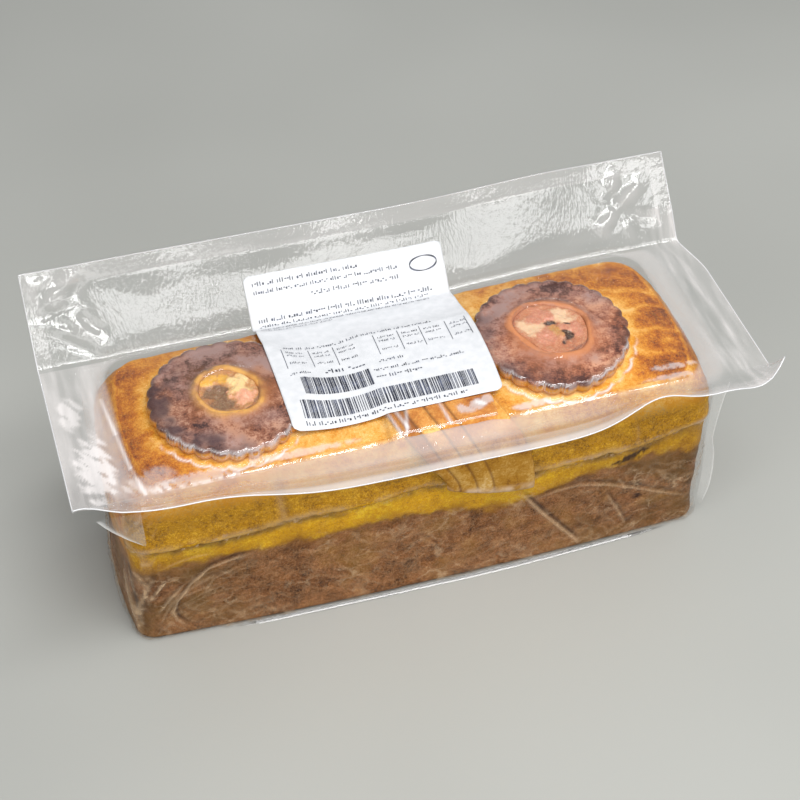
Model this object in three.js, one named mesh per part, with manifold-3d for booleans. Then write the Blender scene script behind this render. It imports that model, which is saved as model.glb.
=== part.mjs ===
// A pastry loaf baked whole, sealed in a clear bag that has shrunk on to it. The bag's two webs are
// welded in a wide flange at the height of the lid's edge, and the back of the flange stands up.
// Two fluted pastry discs, each round a filled hole, a pastry band and a paper label lie on the lid.
// Millimetres. X runs along the loaf, -Y is the front, +Z is up, and the origin is the middle of the base.
import * as THREE from 'three';
import { mergeVertices } from 'three/addons/utils/BufferGeometryUtils.js';
import Module from 'manifold-3d';

const wasm = await Module();
wasm.setup();

// Loaf, in its film
const HALF_LENGTH = 148;
const HALF_WIDTH = 49.5;
const BACK_SWELL = 5; // the loaf is this much deeper towards its right end, at the back
const SEAM_Z = 103.5; // where the flange leaves the loaf
const CROWN = 5; // rise of the lid's middle above the seam
const FOOT_RADIUS = 3;
const FOOT_FLARE_HEIGHT = 14; // the bag gathers in a foot round the base, up to here
const CORNER_RADIUS = 14; // at the seam
const CORNER_RADIUS_AT_FOOT = 10;
const SHOULDER_Z = 80; // where the lid starts to round over
const ENDS = { shoulder: 10.5, overhang: 0, flare: 1.4 }; // inset of the shoulder and below the lid
const SIDES = { shoulder: 5, overhang: 2, flare: 1.2 };
const END_BOW = 2.8;
const SIDE_BOW = 1.2; // of the long sides, at the seam
const SIDE_BOW_AT_FOOT = 3.4;
const LID_EDGE_Z = 65; // lower edge of the lid, which stands proud of the wall
const LID_EDGE_HUMPS = [
  { x: -52, rise: 3, spread: 34 },
  { x: -4, rise: 6, spread: 20 },
  { x: 138, rise: 8, spread: 26 },
];
const LID_EDGE_REACH = 14; // how far above and below the lid's edge the wall follows its humps
const LID_EDGE_STEP = 1.5; // half height of the step under the lid's edge

// Flange
const FILM = 0.8; // both webs, welded
const FLANGE_BELOW_SEAM = 1; // its underside lies this much below the seam
const FLANGE_LEFT = 166.5;
const FLANGE_RIGHT = 168.5;
const RIGHT_INSET_AT_BACK = 5.5; // the standing part stops this much short of the right end
const FRONT_WIDTH = 20;
const BACK_WIDTH = 48.5;
const BACK_ANGLE = Math.PI / 4;
const CREASE_Y = 45.5;
const CREASE_RADIUS = 5;
const FRONT_DROOP = 2;
const FRONT_HUMPS = [
  { x: -164, rise: 13, spread: 34 },
  { x: -104, rise: 9.3, spread: 38 },
  { x: 106, rise: 12.5, spread: 25 },
  { x: 144, rise: 7.5, spread: 18 },
  { x: 174, rise: 19, spread: 14 },
];
const CORNER_TRIM = 4; // the front left corner is cut back this much
const CORNER_TRIM_LENGTH = 22;
const BACK_RIPPLE = 1.2;
const BACK_RIPPLE_LENGTH = 74;

// Pastry discs and their fillings
const GAP = 0.4; // clear space between neighbouring pieces
const DISC_RADIUS = 38;
const DISC_RIM_HEIGHT = 5.6;
const DISC_FLOOR_HEIGHT = 4.4;
const COLLAR_HEIGHT = 7;
const FLUTES = 28;
const FLUTE_DEPTH = 1.7;
const FLUTE_STEPS = 3; // facets to a flute
const DISCS = [
  { side: 'left', x: -85.5, y: -2, hole: 14 },
  { side: 'right', x: 73, y: -3.5, hole: 17.5 },
];

// Pastry band across the lid and down the front
const BAND_HALF_WIDTH = 25;
const BAND_THICKNESS = 2.4;
const BAND_BACK_Y = 20;
const BAND_X_ON_LID = 7;
const BAND_X_AT_END = 28;
const BAND_END_Z = 59;
const BAND_END_SKEW = 11; // its left corner ends this much higher
const BAND_SKEW_Z = 85; // and is drawn up from this height on
const BAND_TAPER = 0.12; // share of its width that it loses on the way down
const BAND_EDGE_SHARE = 0.8; // thickness of its long edges, as a share
const BAND_CUTS = [-0.72, -0.2, 0.12, 0.62]; // scored lines, across the half width
const BAND_CUT_REACH = 0.05; // half width of a scored line, on the same scale
const BAND_CUT_DEPTH = 1;

// Paper label
const LABEL_WIDTH = 101;
const LABEL_X = -12;
const LABEL_FRONT_Y = -33;
const LABEL_UP_FLANGE = 27.5;
const LABEL_THICKNESS = 0.5;
const LABEL_CORNER = 3;

const clamp01 = (t) => Math.min(1, Math.max(0, t));
const smooth = (a, b, x) => {
  const t = clamp01((x - a) / (b - a));
  return t * t * (3 - 2 * t);
};
const hill = (x, h) => h.rise * Math.exp(-(((x - h.x) / h.spread) ** 2));
const hills = (x, list) => list.reduce((sum, h) => sum + hill(x, h), 0);

// ---- Meshes as solids ----

function geometryOf(points, triangles) {
  const geometry = new THREE.BufferGeometry();
  const flat = points.flatMap((p) => [p.x, p.y, p.z]);
  geometry.setAttribute('position', new THREE.Float32BufferAttribute(flat, 3));
  geometry.setIndex(triangles.flat());
  return geometry;
}

function solidOf(geometry) {
  const bare = new THREE.BufferGeometry();
  bare.setAttribute('position', geometry.getAttribute('position').clone());
  bare.setIndex(geometry.getIndex().clone());
  const merged = mergeVertices(bare, 1e-4);
  return new wasm.Manifold(new wasm.Mesh({
    numProp: 3,
    vertProperties: new Float32Array(merged.getAttribute('position').array),
    triVerts: new Uint32Array(merged.getIndex().array),
  }));
}

function geometryFromSolid(solid) {
  const mesh = solid.getMesh();
  const geometry = new THREE.BufferGeometry();
  geometry.setAttribute('position', new THREE.BufferAttribute(mesh.vertProperties.slice(), 3));
  geometry.setIndex(new THREE.BufferAttribute(mesh.triVerts.slice(), 1));
  return geometry;
}

// Joins rings of equal length. Each end is closed by a fan round a point, or left for the next ring.
function loft(rings, firstPoint, lastPoint) {
  const count = rings[0].length;
  const points = rings.flat();
  const triangles = [];
  for (let k = 0; k + 1 < rings.length; k++) {
    for (let i = 0; i < count; i++) {
      const j = (i + 1) % count;
      const [a, b, c, d] = [k * count + i, k * count + j, (k + 1) * count + j, (k + 1) * count + i];
      triangles.push([a, b, c], [a, c, d]);
    }
  }
  const first = points.push(firstPoint) - 1;
  const last = points.push(lastPoint) - 1;
  const top = (rings.length - 1) * count;
  for (let i = 0; i < count; i++) {
    const j = (i + 1) % count;
    triangles.push([first, j, i], [last, top + i, top + j]);
  }
  return geometryOf(points, triangles);
}

// A closed sheet: point(u, v, side) gives its upper (side 1) and lower (side -1) face.
function sheet(us, vs, point) {
  const rows = vs.length;
  const points = [];
  for (const side of [1, -1]) {
    for (const u of us) {
      for (const v of vs) {
        points.push(point(u, v, side));
      }
    }
  }
  const lower = us.length * rows;
  const triangles = [];
  const quad = (a, b, c, d) => triangles.push([a, b, c], [a, c, d]);
  for (let i = 0; i + 1 < us.length; i++) {
    for (let j = 0; j + 1 < rows; j++) {
      const [a, b, c, d] = [i * rows + j, (i + 1) * rows + j, (i + 1) * rows + j + 1, i * rows + j + 1];
      quad(a, b, c, d);
      quad(lower + d, lower + c, lower + b, lower + a);
    }
  }
  for (let i = 0; i + 1 < us.length; i++) {
    const [a, b] = [i * rows, (i + 1) * rows];
    const [c, d] = [a + rows - 1, b + rows - 1];
    quad(lower + a, lower + b, b, a);
    quad(c, d, lower + d, lower + c);
  }
  for (let j = 0; j + 1 < rows; j++) {
    const far = (us.length - 1) * rows + j;
    quad(j, j + 1, lower + j + 1, lower + j);
    quad(far + 1, far, lower + far, lower + far + 1);
  }
  return geometryOf(points, triangles);
}

function steps(from, to, count) {
  return Array.from({ length: count + 1 }, (_, i) => from + ((to - from) * i) / count);
}

// ---- The loaf's form ----

function lidEdgeShift(x, z) {
  return hills(x, LID_EDGE_HUMPS) * Math.exp(-(((z - LID_EDGE_Z) / LID_EDGE_REACH) ** 2));
}

// How far the wall stands in from its widest outline, at a height before the lid edge's humps.
function wallInset(z, { shoulder, overhang, flare }) {
  const foot = z < FOOT_RADIUS ? FOOT_RADIUS - Math.sqrt(FOOT_RADIUS ** 2 - (FOOT_RADIUS - z) ** 2) : 0;
  const underLid = overhang * (1 - smooth(LID_EDGE_Z - LID_EDGE_STEP, LID_EDGE_Z + LID_EDGE_STEP, z));
  const overLid = shoulder * clamp01((z - SHOULDER_Z) / (SEAM_Z - SHOULDER_Z)) ** 2.3;
  return foot + underLid + overLid - flare * (1 - smooth(1, FOOT_FLARE_HEIGHT, z));
}

const halfLengthAt = (z) => HALF_LENGTH - wallInset(z, ENDS);
const halfWidthAt = (z) => HALF_WIDTH - wallInset(z, SIDES);

// A rounded rectangle, counter-clockwise, with slightly bowed sides.
function outline(halfX, halfY, radius, sideBow = SIDE_BOW) {
  const points = [];
  const side = (x0, y0, x1, y1, count) => {
    for (let i = 1; i < count; i++) {
      const t = i / count;
      const bow = 1 - (2 * t - 1) ** 2;
      const alongX = Math.abs(x1 - x0) > Math.abs(y1 - y0);
      const out = alongX ? [0, Math.sign(y0) * sideBow * bow] : [Math.sign(x0) * END_BOW * bow, 0];
      points.push([x0 + (x1 - x0) * t + out[0], y0 + (y1 - y0) * t + out[1]]);
    }
  };
  const corner = (cx, cy, from) => {
    for (let i = 0; i <= 5; i++) {
      const a = from + (Math.PI / 2) * (i / 5);
      points.push([cx + radius * Math.cos(a), cy + radius * Math.sin(a)]);
    }
  };
  const [a, b] = [halfX - END_BOW, halfY - sideBow];
  const [ca, cb] = [a - radius, b - radius];
  corner(ca, cb, 0);
  side(ca, b, -ca, b, 18);
  corner(-ca, cb, Math.PI / 2);
  side(-a, cb, -a, -cb, 7);
  corner(-ca, -cb, Math.PI);
  side(-ca, -b, ca, -b, 18);
  corner(ca, -cb, 1.5 * Math.PI);
  side(a, -cb, a, cb, 7);
  return points;
}

const backSwell = (x) => BACK_SWELL * smooth(10, 115, x);

// Height of the lid above the base, inside the seam.
function lidHeight(x, y) {
  const halfWidth = halfWidthAt(SEAM_Z);
  const u = clamp01(Math.abs(x) / halfLengthAt(SEAM_Z));
  const v = clamp01(y < 0 ? -y / halfWidth : y / (halfWidth + backSwell(x)));
  return SEAM_Z + CROWN * (1 - u ** 8) * (1 - v ** 2.6);
}

function loafGeometry() {
  const swell = (x, y) => y * (1 + (y > 0 ? backSwell(x) / HALF_WIDTH : 0));
  const wall = [0, 0.4, 1.4, 3, 6, 10, 14, 32, 48, 58, 63.5, 66.5, 72, 80, 87, 93, 98, 101.2, SEAM_Z];
  const rings = wall.map((z) => {
    const radius = CORNER_RADIUS_AT_FOOT + (CORNER_RADIUS - CORNER_RADIUS_AT_FOOT) * (z / SEAM_Z) ** 2;
    const sideBow = SIDE_BOW + (SIDE_BOW_AT_FOOT - SIDE_BOW) * (1 - smooth(0, 40, z));
    return outline(halfLengthAt(z), halfWidthAt(z), radius, sideBow)
      .map(([x, y]) => new THREE.Vector3(x, swell(x, y), z + (z < FOOT_RADIUS ? 0 : lidEdgeShift(x, z))));
  });
  for (const inset of [4, 10, 18, 28, 37]) {
    const [halfX, halfY] = [halfLengthAt(SEAM_Z) - inset, halfWidthAt(SEAM_Z) - inset];
    rings.push(outline(halfX, halfY, Math.min(CORNER_RADIUS, halfY - 2))
      .map(([x, y]) => new THREE.Vector3(x, swell(x, y), lidHeight(x, swell(x, y)))));
  }
  return loft(rings, new THREE.Vector3(0, 0, 0), new THREE.Vector3(0, 0, lidHeight(0, 0)));
}

// ---- The flange ----

// A point on the flange's middle surface. s is measured across the film laid flat, in line with Y.
function filmPoint(x, s) {
  const level = SEAM_Z - FLANGE_BELOW_SEAM + FILM / 2;
  const beyond = s - CREASE_Y;
  const swell = backSwell(x);
  if (beyond > 0) {
    const bend = CREASE_RADIUS * BACK_ANGLE;
    const angle = Math.min(beyond, bend) / CREASE_RADIUS;
    const straight = Math.max(0, beyond - bend);
    const wave = Math.sin((2 * Math.PI * x) / BACK_RIPPLE_LENGTH);
    const ripple = BACK_RIPPLE * wave * clamp01(straight / BACK_WIDTH);
    return new THREE.Vector3(
      x,
      CREASE_Y + swell + CREASE_RADIUS * Math.sin(angle) + straight * Math.cos(BACK_ANGLE) - ripple,
      level + CREASE_RADIUS * (1 - Math.cos(angle)) + straight * Math.sin(BACK_ANGLE) + ripple,
    );
  }
  if (s > -CREASE_Y) {
    return new THREE.Vector3(x, s + swell * clamp01(s / CREASE_Y), level);
  }
  const front = (-CREASE_Y - s) / FRONT_WIDTH;
  const width = FRONT_WIDTH - CORNER_TRIM * smooth(CORNER_TRIM_LENGTH - FLANGE_LEFT, -FLANGE_LEFT, x);
  const lift = hills(x, FRONT_HUMPS) - FRONT_DROOP;
  const reach = Math.sqrt(Math.max(width ** 2 - lift ** 2, (0.55 * width) ** 2));
  return new THREE.Vector3(x, -CREASE_Y - front * reach, level + lift * front ** 1.3);
}

function filmNormal(x, s) {
  const e = 0.2;
  const alongX = filmPoint(x + e, s).sub(filmPoint(x - e, s));
  const alongS = filmPoint(x, s + e).sub(filmPoint(x, s - e));
  return alongX.cross(alongS).normalize();
}

const offsetFilm = (x, s, distance) => filmPoint(x, s).addScaledVector(filmNormal(x, s), distance);

function flangeGeometry() {
  const across = [0, 0.2, 0.45, 0.7, 1].map((t) => -CREASE_Y - FRONT_WIDTH * (1 - t));
  across.push(-20, 20, ...steps(CREASE_Y, CREASE_Y + CREASE_RADIUS * BACK_ANGLE, 3));
  across.push(...steps(CREASE_Y + 8, CREASE_Y + BACK_WIDTH, 4));
  return sheet(steps(0, 1, 37), across, (t, s, side) => {
    const right = FLANGE_RIGHT - RIGHT_INSET_AT_BACK * smooth(22, CREASE_Y + 6, s);
    return offsetFilm(-FLANGE_LEFT + (right + FLANGE_LEFT) * t, s, (side * FILM) / 2);
  });
}

// ---- Fluted discs round a hole ----

function fluteInset(angle) {
  return FLUTE_DEPTH * (1 - Math.abs(Math.sin((FLUTES * angle) / 2)) ** 0.8);
}

function discGeometry({ x, y, hole }) {
  const rise = DISC_RIM_HEIGHT - DISC_FLOOR_HEIGHT;
  const profile = [
    { r: hole, z: 0 },
    { r: hole, z: COLLAR_HEIGHT - 1.2 },
    { r: hole + 1.4, z: COLLAR_HEIGHT },
    { r: hole + 4, z: DISC_FLOOR_HEIGHT + 0.6 },
    { r: (hole + DISC_RADIUS) / 2 + 2, z: DISC_FLOOR_HEIGHT },
    { r: DISC_RADIUS - 4.5, z: DISC_FLOOR_HEIGHT + rise * 0.6, flute: 0.5 },
    { r: DISC_RADIUS - 2.2, z: DISC_RIM_HEIGHT, flute: 1 },
    { r: DISC_RADIUS - 0.3, z: DISC_RIM_HEIGHT - 1.6, flute: 1 },
    { r: DISC_RADIUS - 0.6, z: 0, flute: 1 },
    ...[30, 23].map((r) => ({ r, z: 0 })), // so that the underside follows the lid's crown
  ];
  const count = FLUTES * FLUTE_STEPS;
  const points = [];
  for (const { r, z, flute = 0 } of profile) {
    for (let i = 0; i < count; i++) {
      const a = (2 * Math.PI * i) / count;
      const radius = r - flute * fluteInset(a);
      const [px, py] = [x + radius * Math.cos(a), y + radius * Math.sin(a)];
      points.push(new THREE.Vector3(px, py, lidHeight(px, py) + GAP + z));
    }
  }
  const triangles = [];
  for (let k = 0; k < profile.length; k++) {
    const next = (k + 1) % profile.length;
    for (let i = 0; i < count; i++) {
      const j = (i + 1) % count;
      const [a, b, c, d] = [k * count + i, next * count + i, next * count + j, k * count + j];
      triangles.push([a, b, c], [a, c, d]);
    }
  }
  return geometryOf(points, triangles);
}

// The filling that stands in a disc's hole: a low lump with a hollow and two bulges.
function fillingGeometry({ x, y, hole }) {
  const radius = hole - GAP;
  const bulges = [
    { a: 0.5, r: 0.45, rise: 2, spread: 0.4 },
    { a: 2.7, r: 0.55, rise: 1.3, spread: 0.35 },
    { a: 4.4, r: 0.4, rise: -1.4, spread: 0.35 },
  ];
  const rise = (u, v) => bulges.reduce((sum, b) => {
    const [du, dv] = [u - b.r * Math.cos(b.a), v - b.r * Math.sin(b.a)];
    return sum + b.rise * Math.exp(-(du * du + dv * dv) / b.spread ** 2);
  }, 3.4);
  const count = 32;
  const ring = (share, height) => Array.from({ length: count }, (_, i) => {
    const a = (2 * Math.PI * i) / count;
    const [u, v] = [share * Math.cos(a), share * Math.sin(a)];
    const [px, py] = [x + radius * u, y + radius * v];
    return new THREE.Vector3(px, py, lidHeight(px, py) + GAP + height(u, v));
  });
  const rings = [ring(0.97, () => 0), ring(1, () => 1.5), ring(0.93, (u, v) => rise(u, v) - 0.6)];
  rings.push(...[0.75, 0.5, 0.25].map((share) => ring(share, rise)));
  const middle = lidHeight(x, y) + GAP;
  return loft(rings, new THREE.Vector3(x, y, middle), new THREE.Vector3(x, y, middle + rise(0, 0)));
}

// ---- The pastry band ----

// Its middle line, from the lid's middle to its end low on the front: place, outward way and shift in X.
function bandPath() {
  const path = [];
  for (const y of steps(BAND_BACK_Y, -halfWidthAt(SEAM_Z) + 2.5, 9)) {
    path.push({ y, z: lidHeight(BAND_X_ON_LID, y) });
  }
  for (const z of [SEAM_Z - 2.3, 98, 92, 85, 78]) {
    path.push({ y: -halfWidthAt(z) - SIDE_BOW - 0.2, z });
  }
  for (const z of steps(72, BAND_END_Z, 3)) {
    path.push({ y: -HALF_WIDTH - SIDE_BOW - 0.2, z });
  }
  return path.map((p, i) => {
    const [before, after] = [path[Math.max(0, i - 1)], path[Math.min(path.length - 1, i + 1)]];
    const [dy, dz] = [after.y - before.y, after.z - before.z];
    const length = Math.hypot(dy, dz);
    const down = smooth(-BAND_BACK_Y, BAND_END_Z - SEAM_Z - HALF_WIDTH, p.z - SEAM_Z + Math.min(0, p.y));
    const shift = BAND_X_ON_LID + (BAND_X_AT_END - BAND_X_ON_LID) * down;
    return { ...p, ny: dz / length, nz: -dy / length, shift };
  });
}

function bandGeometry(grow = 0) {
  const path = bandPath();
  const margin = 1 + grow / BAND_HALF_WIDTH;
  const depthOf = (v, cut) => 1 - Math.abs(v - cut) / BAND_CUT_REACH;
  const cutAt = (v) => BAND_CUTS.reduce((deep, cut) => Math.max(deep, depthOf(v, cut)), 0);
  const across = [-margin];
  for (const c of BAND_CUTS) {
    across.push(c - BAND_CUT_REACH, c, c + BAND_CUT_REACH);
  }
  across.push(margin);
  const place = (i, v, side) => {
    const p = path[i];
    const edge = Math.abs(v) < 1 ? 1 : BAND_EDGE_SHARE;
    const thick = BAND_THICKNESS * edge - BAND_CUT_DEPTH * Math.max(0, cutAt(v));
    const lift = side > 0 ? GAP + thick + grow : GAP - grow;
    const drawn = clamp01((BAND_SKEW_Z - p.z) / (BAND_SKEW_Z - BAND_END_Z));
    const skew = BAND_END_SKEW * ((1 - v) / 2) ** 2 * drawn;
    const x = p.shift + v * BAND_HALF_WIDTH * (1 - BAND_TAPER * smooth(SEAM_Z, BAND_END_Z, p.z));
    const lie = p.z > SEAM_Z - 1 ? lidHeight(x, p.y) - lidHeight(BAND_X_ON_LID, p.y) : 0;
    return new THREE.Vector3(x, p.y + p.ny * lift, p.z + skew + lie + p.nz * lift);
  };
  return sheet(path.map((_, i) => i), across, place);
}

// ---- The label ----

// Height that the label needs to clear what lies on the lid, easing down round it.
function coverHeight(x, y) {
  const overDiscs = DISCS.map((disc) => {
    const away = Math.hypot(x - disc.x, y - disc.y) - DISC_RADIUS;
    return (DISC_RIM_HEIGHT + GAP) * (1 - smooth(0.5, 16, away));
  });
  const besideBand = smooth(BAND_HALF_WIDTH + 2, BAND_HALF_WIDTH + 16, Math.abs(x - BAND_X_ON_LID));
  const behindBand = smooth(BAND_BACK_Y + 1, BAND_BACK_Y + 14, y);
  const overBand = (BAND_THICKNESS + GAP) * (1 - besideBand) * (1 - behindBand);
  return Math.max(...overDiscs, overBand);
}

function labelGeometry() {
  const halfWidth = LABEL_WIDTH / 2;
  const back = CREASE_Y + LABEL_UP_FLANGE;
  const nearEdge = [0, 0.15, 0.5, 0.8, 1].map((t) => LABEL_CORNER * t);
  const us = [
    ...nearEdge.map((d) => -halfWidth + d),
    ...steps(-halfWidth + 8, halfWidth - 8, 10),
    ...nearEdge.map((d) => halfWidth - d).reverse(),
  ];
  const lift = (side) => GAP + (side > 0 ? LABEL_THICKNESS : 0);
  const place = (u, v, side) => {
    const toEdge = Math.min(LABEL_CORNER, halfWidth - Math.abs(u));
    const cut = LABEL_CORNER - Math.sqrt(LABEL_CORNER ** 2 - (LABEL_CORNER - toEdge) ** 2);
    const s = LABEL_FRONT_Y + cut + (back - LABEL_FRONT_Y - 2 * cut) * v;
    const x = LABEL_X + u;
    const onFilm = offsetFilm(x, s, FILM / 2 + lift(side) + 0.2);
    const rest = lidHeight(x, s) + coverHeight(x, s) + lift(side);
    const blend = smooth(CREASE_Y - 9, CREASE_Y - 1, s);
    const eased = rest * (1 - blend) + Math.max(rest, onFilm.z) * blend;
    return s > CREASE_Y ? onFilm : new THREE.Vector3(x, s, eased);
  };
  return sheet(us, steps(0, 1, 15), place);
}

// ---- Assembly ----

function material(color, roughness) {
  return new THREE.MeshStandardMaterial({ color, roughness, metalness: 0 });
}

const crust = material('#c98a34', 0.35);
const darkPastry = material('#7a4a38', 0.4);
const meat = material('#cf9a78', 0.4);
const bakedBand = material('#b8702c', 0.4);
const paper = material('#f3f3f4', 0.8);

function named(name, geometry, look) {
  const mesh = new THREE.Mesh(geometry, look);
  mesh.name = name;
  return mesh;
}

function sealedBag() {
  const whole = solidOf(loafGeometry()).add(solidOf(flangeGeometry()));
  return geometryFromSolid(whole.subtract(solidOf(bandGeometry(GAP))));
}

const group = new THREE.Group();
group.add(named('sealed_bag', sealedBag(), crust));
for (const disc of DISCS) {
  group.add(named(`pastry_disc_${disc.side}`, discGeometry(disc), darkPastry));
  group.add(named(`filling_${disc.side}`, fillingGeometry(disc), meat));
}
group.add(named('pastry_band', bandGeometry(), bakedBand));
group.add(named('label', labelGeometry(), paper));

export default group;
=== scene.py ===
# %% [markdown]
# # A pastry loaf sealed in a clear bag
#
# The real object is a pate baked in a pastry crust and then vacuum-packed. It is made of a crust loaf,
# two fluted pastry discs with a filled hole each, a band of pastry leaves, two webs of clear film
# and a paper label. The construction model gives the size and place of all of these. This file gives
# them their fine shape and finish, and every length in it is in millimetres until a mesh is built.

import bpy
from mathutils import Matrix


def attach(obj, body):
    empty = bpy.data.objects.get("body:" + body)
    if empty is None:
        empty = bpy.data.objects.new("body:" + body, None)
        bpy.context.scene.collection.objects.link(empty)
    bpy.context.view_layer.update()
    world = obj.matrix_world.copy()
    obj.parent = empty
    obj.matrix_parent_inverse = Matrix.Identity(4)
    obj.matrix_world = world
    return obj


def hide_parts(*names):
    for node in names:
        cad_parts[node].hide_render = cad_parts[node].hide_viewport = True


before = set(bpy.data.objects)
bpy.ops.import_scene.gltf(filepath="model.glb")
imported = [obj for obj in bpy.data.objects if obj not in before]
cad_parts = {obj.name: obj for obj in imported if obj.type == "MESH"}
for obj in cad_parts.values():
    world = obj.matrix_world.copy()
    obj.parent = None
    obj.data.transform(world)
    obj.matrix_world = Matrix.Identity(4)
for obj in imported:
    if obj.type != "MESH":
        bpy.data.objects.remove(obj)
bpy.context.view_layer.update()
print("nodes of the frame:", sorted(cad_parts))

# %% [markdown]
# ## Tools of the workshop
#
# Food is uneven, so most shapes here are grids of points that a formula puts in place and a noise
# then roughens. Arrays of points are quick to work out, and a smooth step and a hill are enough to
# describe nearly every rise, dent and border. Everything random is seeded, so each run is the same.

# %% Units, steps and hills
import math
import random

import bpy
import numpy as np
from mathutils import Matrix, Vector, noise

MM = 0.001  # metres in a millimetre


def clamp01(t):
    return np.clip(t, 0.0, 1.0)


def smooth(a, b, x):
    """0 below a, 1 above b, and a soft step between them."""
    t = clamp01((np.asarray(x, float) - a) / (b - a))
    return t * t * (3 - 2 * t)


def bell(x, spread):
    """1 at 0, fading out over the spread to both sides."""
    return np.exp(-((x / spread) ** 2))


def hill(x, middle, rise, spread):
    return rise * bell(x - middle, spread)


def hills(x, humps):
    return sum(hill(x, *hump) for hump in humps)


def spot(x, y, middle, reach):
    """1 in the middle of a round or oval spot, fading out at its reach."""
    rx, ry = reach if isinstance(reach, tuple) else (reach, reach)
    return np.exp(-(((x - middle[0]) / rx) ** 2) - ((y - middle[1]) / ry) ** 2)


def rough(points, size, seed=0, octaves=3):
    """Cloudy noise of that size for each point, from about -1 to 1. size can differ in X, Y and Z."""
    flat = np.asarray(points, float).reshape(-1, 3) / np.broadcast_to(size, 3) + 31.7 * seed
    values = [noise.fractal(p, 1.0, 2.0, octaves) for p in flat.tolist()]
    return np.array(values).reshape(np.shape(points)[:-1])


def mottled(points, middle, swing, size, seed=0, octaves=3):
    """Cloudy patches from 0 to 1, round a middle value."""
    return clamp01(middle + swing * rough(points, size, seed, octaves))


def near_line(x, y, ends):
    """Distance to a straight line between two places, and how far along it the nearest place is."""
    (x0, y0), (x1, y1) = ends
    dx, dy = x1 - x0, y1 - y0
    along = clamp01(((x - x0) * dx + (y - y0) * dy) / (dx * dx + dy * dy))
    return np.hypot(x - x0 - dx * along, y - y0 - dy * along), along


print("a hill 3 mm high is", round(float(hill(10, 0, 3, 10)), 2), "mm high at its spread")

# %% Grids of points as meshes
def grid_faces(rows, columns, ring=False, start=0):
    """Quads between the rows and columns of a grid. A ring's last column meets its first."""
    faces = []
    for r in range(rows - 1):
        for c in range(columns if ring else columns - 1):
            d = (c + 1) % columns
            a = start + r * columns
            faces.append((a + c, a + d, a + columns + d, a + columns + c))
    return faces


def fan(tip, start, columns, upward):
    """Triangles between a tip and the ring of points that starts at that number."""
    ring = [(start + i, start + (i + 1) % columns) for i in range(columns)]
    return [(tip, a, b) if upward else (tip, b, a) for a, b in ring]


def sheet_faces(rows, columns):
    """Faces of a sheet with an upper and then a lower grid of points, closed round its rim."""
    under = rows * columns
    faces = grid_faces(rows, columns)
    faces += [face[::-1] for face in grid_faces(rows, columns, start=under)]
    rim = list(range(columns)) + [r * columns + columns - 1 for r in range(1, rows)]
    rim += [(rows - 1) * columns + c for c in range(columns - 2, -1, -1)]
    rim += [r * columns for r in range(rows - 2, 0, -1)]
    return faces + [(a, a + under, b + under, b) for a, b in zip(rim, rim[1:] + rim[:1])]


def grid_normals(grid, ring=False):
    """The outward normal at each point of a grid whose faces turn outward."""
    if ring:
        wrapped = np.concatenate([grid[:, -1:], grid, grid[:, :1]], axis=1)
        across = np.gradient(wrapped, axis=1)[:, 1:-1]
    else:
        across = np.gradient(grid, axis=1)
    normals = np.cross(across, np.gradient(grid, axis=0))
    return normals / np.maximum(np.linalg.norm(normals, axis=2, keepdims=True), 1e-9)


def make_piece(name, points, faces, material, masks, stands_for=()):
    """A mesh piece that rides on the body. masks are numbers per point that its material reads."""
    mesh = bpy.data.meshes.new(name)
    mesh.from_pydata((np.asarray(points, float).reshape(-1, 3) * MM).tolist(), [], faces)
    for mask, values in masks.items():
        layer = mesh.attributes.new(mask, "FLOAT", "POINT")
        layer.data.foreach_set("value", np.asarray(values, np.float32).ravel())
    mesh.polygons.foreach_set("use_smooth", np.ones(len(mesh.polygons), bool))
    mesh.materials.append(material)
    piece = bpy.data.objects.new(name, mesh)
    bpy.context.scene.collection.objects.link(piece)
    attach(piece, "root")
    if stands_for:
        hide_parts(*stands_for)
    print(name, "has", sum(len(f) - 2 for f in faces), "triangles")
    return piece


# %% [markdown]
# ## The loaf's form
#
# The loaf is a long block with rounded corners, a lid that laps over its walls and a gentle crown.
# The same named sizes and formulas as in the construction model are used, so that what is built here
# lies where the solid is. A ring of points round the loaf is worked out at every height, as a baker's
# tin would be made from hoops.

# %% The loaf's sizes
HALF_LENGTH, HALF_WIDTH = 148, 49.5
BACK_SWELL = 5
SEAM_Z = 103.5  # where the flange leaves the loaf
CROWN = 5
FOOT_RADIUS, FOOT_FLARE_HEIGHT = 3, 14
CORNER_RADIUS, CORNER_RADIUS_AT_FOOT = 14, 10
SHOULDER_Z = 80
ENDS = {"shoulder": 10.5, "overhang": 0, "flare": 1.4}
SIDES = {"shoulder": 5, "overhang": 2, "flare": 1.2}
END_BOW, SIDE_BOW, SIDE_BOW_AT_FOOT = 2.8, 1.2, 3.4
LID_EDGE_Z, LID_EDGE_REACH = 65, 14
LID_EDGE_HUMPS = ((-52, 3, 34), (-4, 6, 20), (138, 8, 26))  # middle, rise and spread


def lid_edge_shift(x, z):
    return hills(x, LID_EDGE_HUMPS) * bell(z - LID_EDGE_Z, LID_EDGE_REACH)


def wall_inset(z, sizes, ledge=1.5):
    """How far the wall stands in at a height. ledge is the half height of the step under the lid."""
    dip = np.maximum(FOOT_RADIUS - z, 0)
    foot = FOOT_RADIUS - np.sqrt(FOOT_RADIUS**2 - dip**2)
    under_lid = sizes["overhang"] * (1 - smooth(LID_EDGE_Z - ledge, LID_EDGE_Z + ledge, z))
    over_lid = sizes["shoulder"] * clamp01((z - SHOULDER_Z) / (SEAM_Z - SHOULDER_Z)) ** 2.3
    return foot + under_lid + over_lid - sizes["flare"] * (1 - smooth(1, FOOT_FLARE_HEIGHT, z))


def half_length_at(z, **ledge):
    return HALF_LENGTH - wall_inset(z, ENDS, **ledge)


def half_width_at(z, **ledge):
    return HALF_WIDTH - wall_inset(z, SIDES, **ledge)


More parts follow.
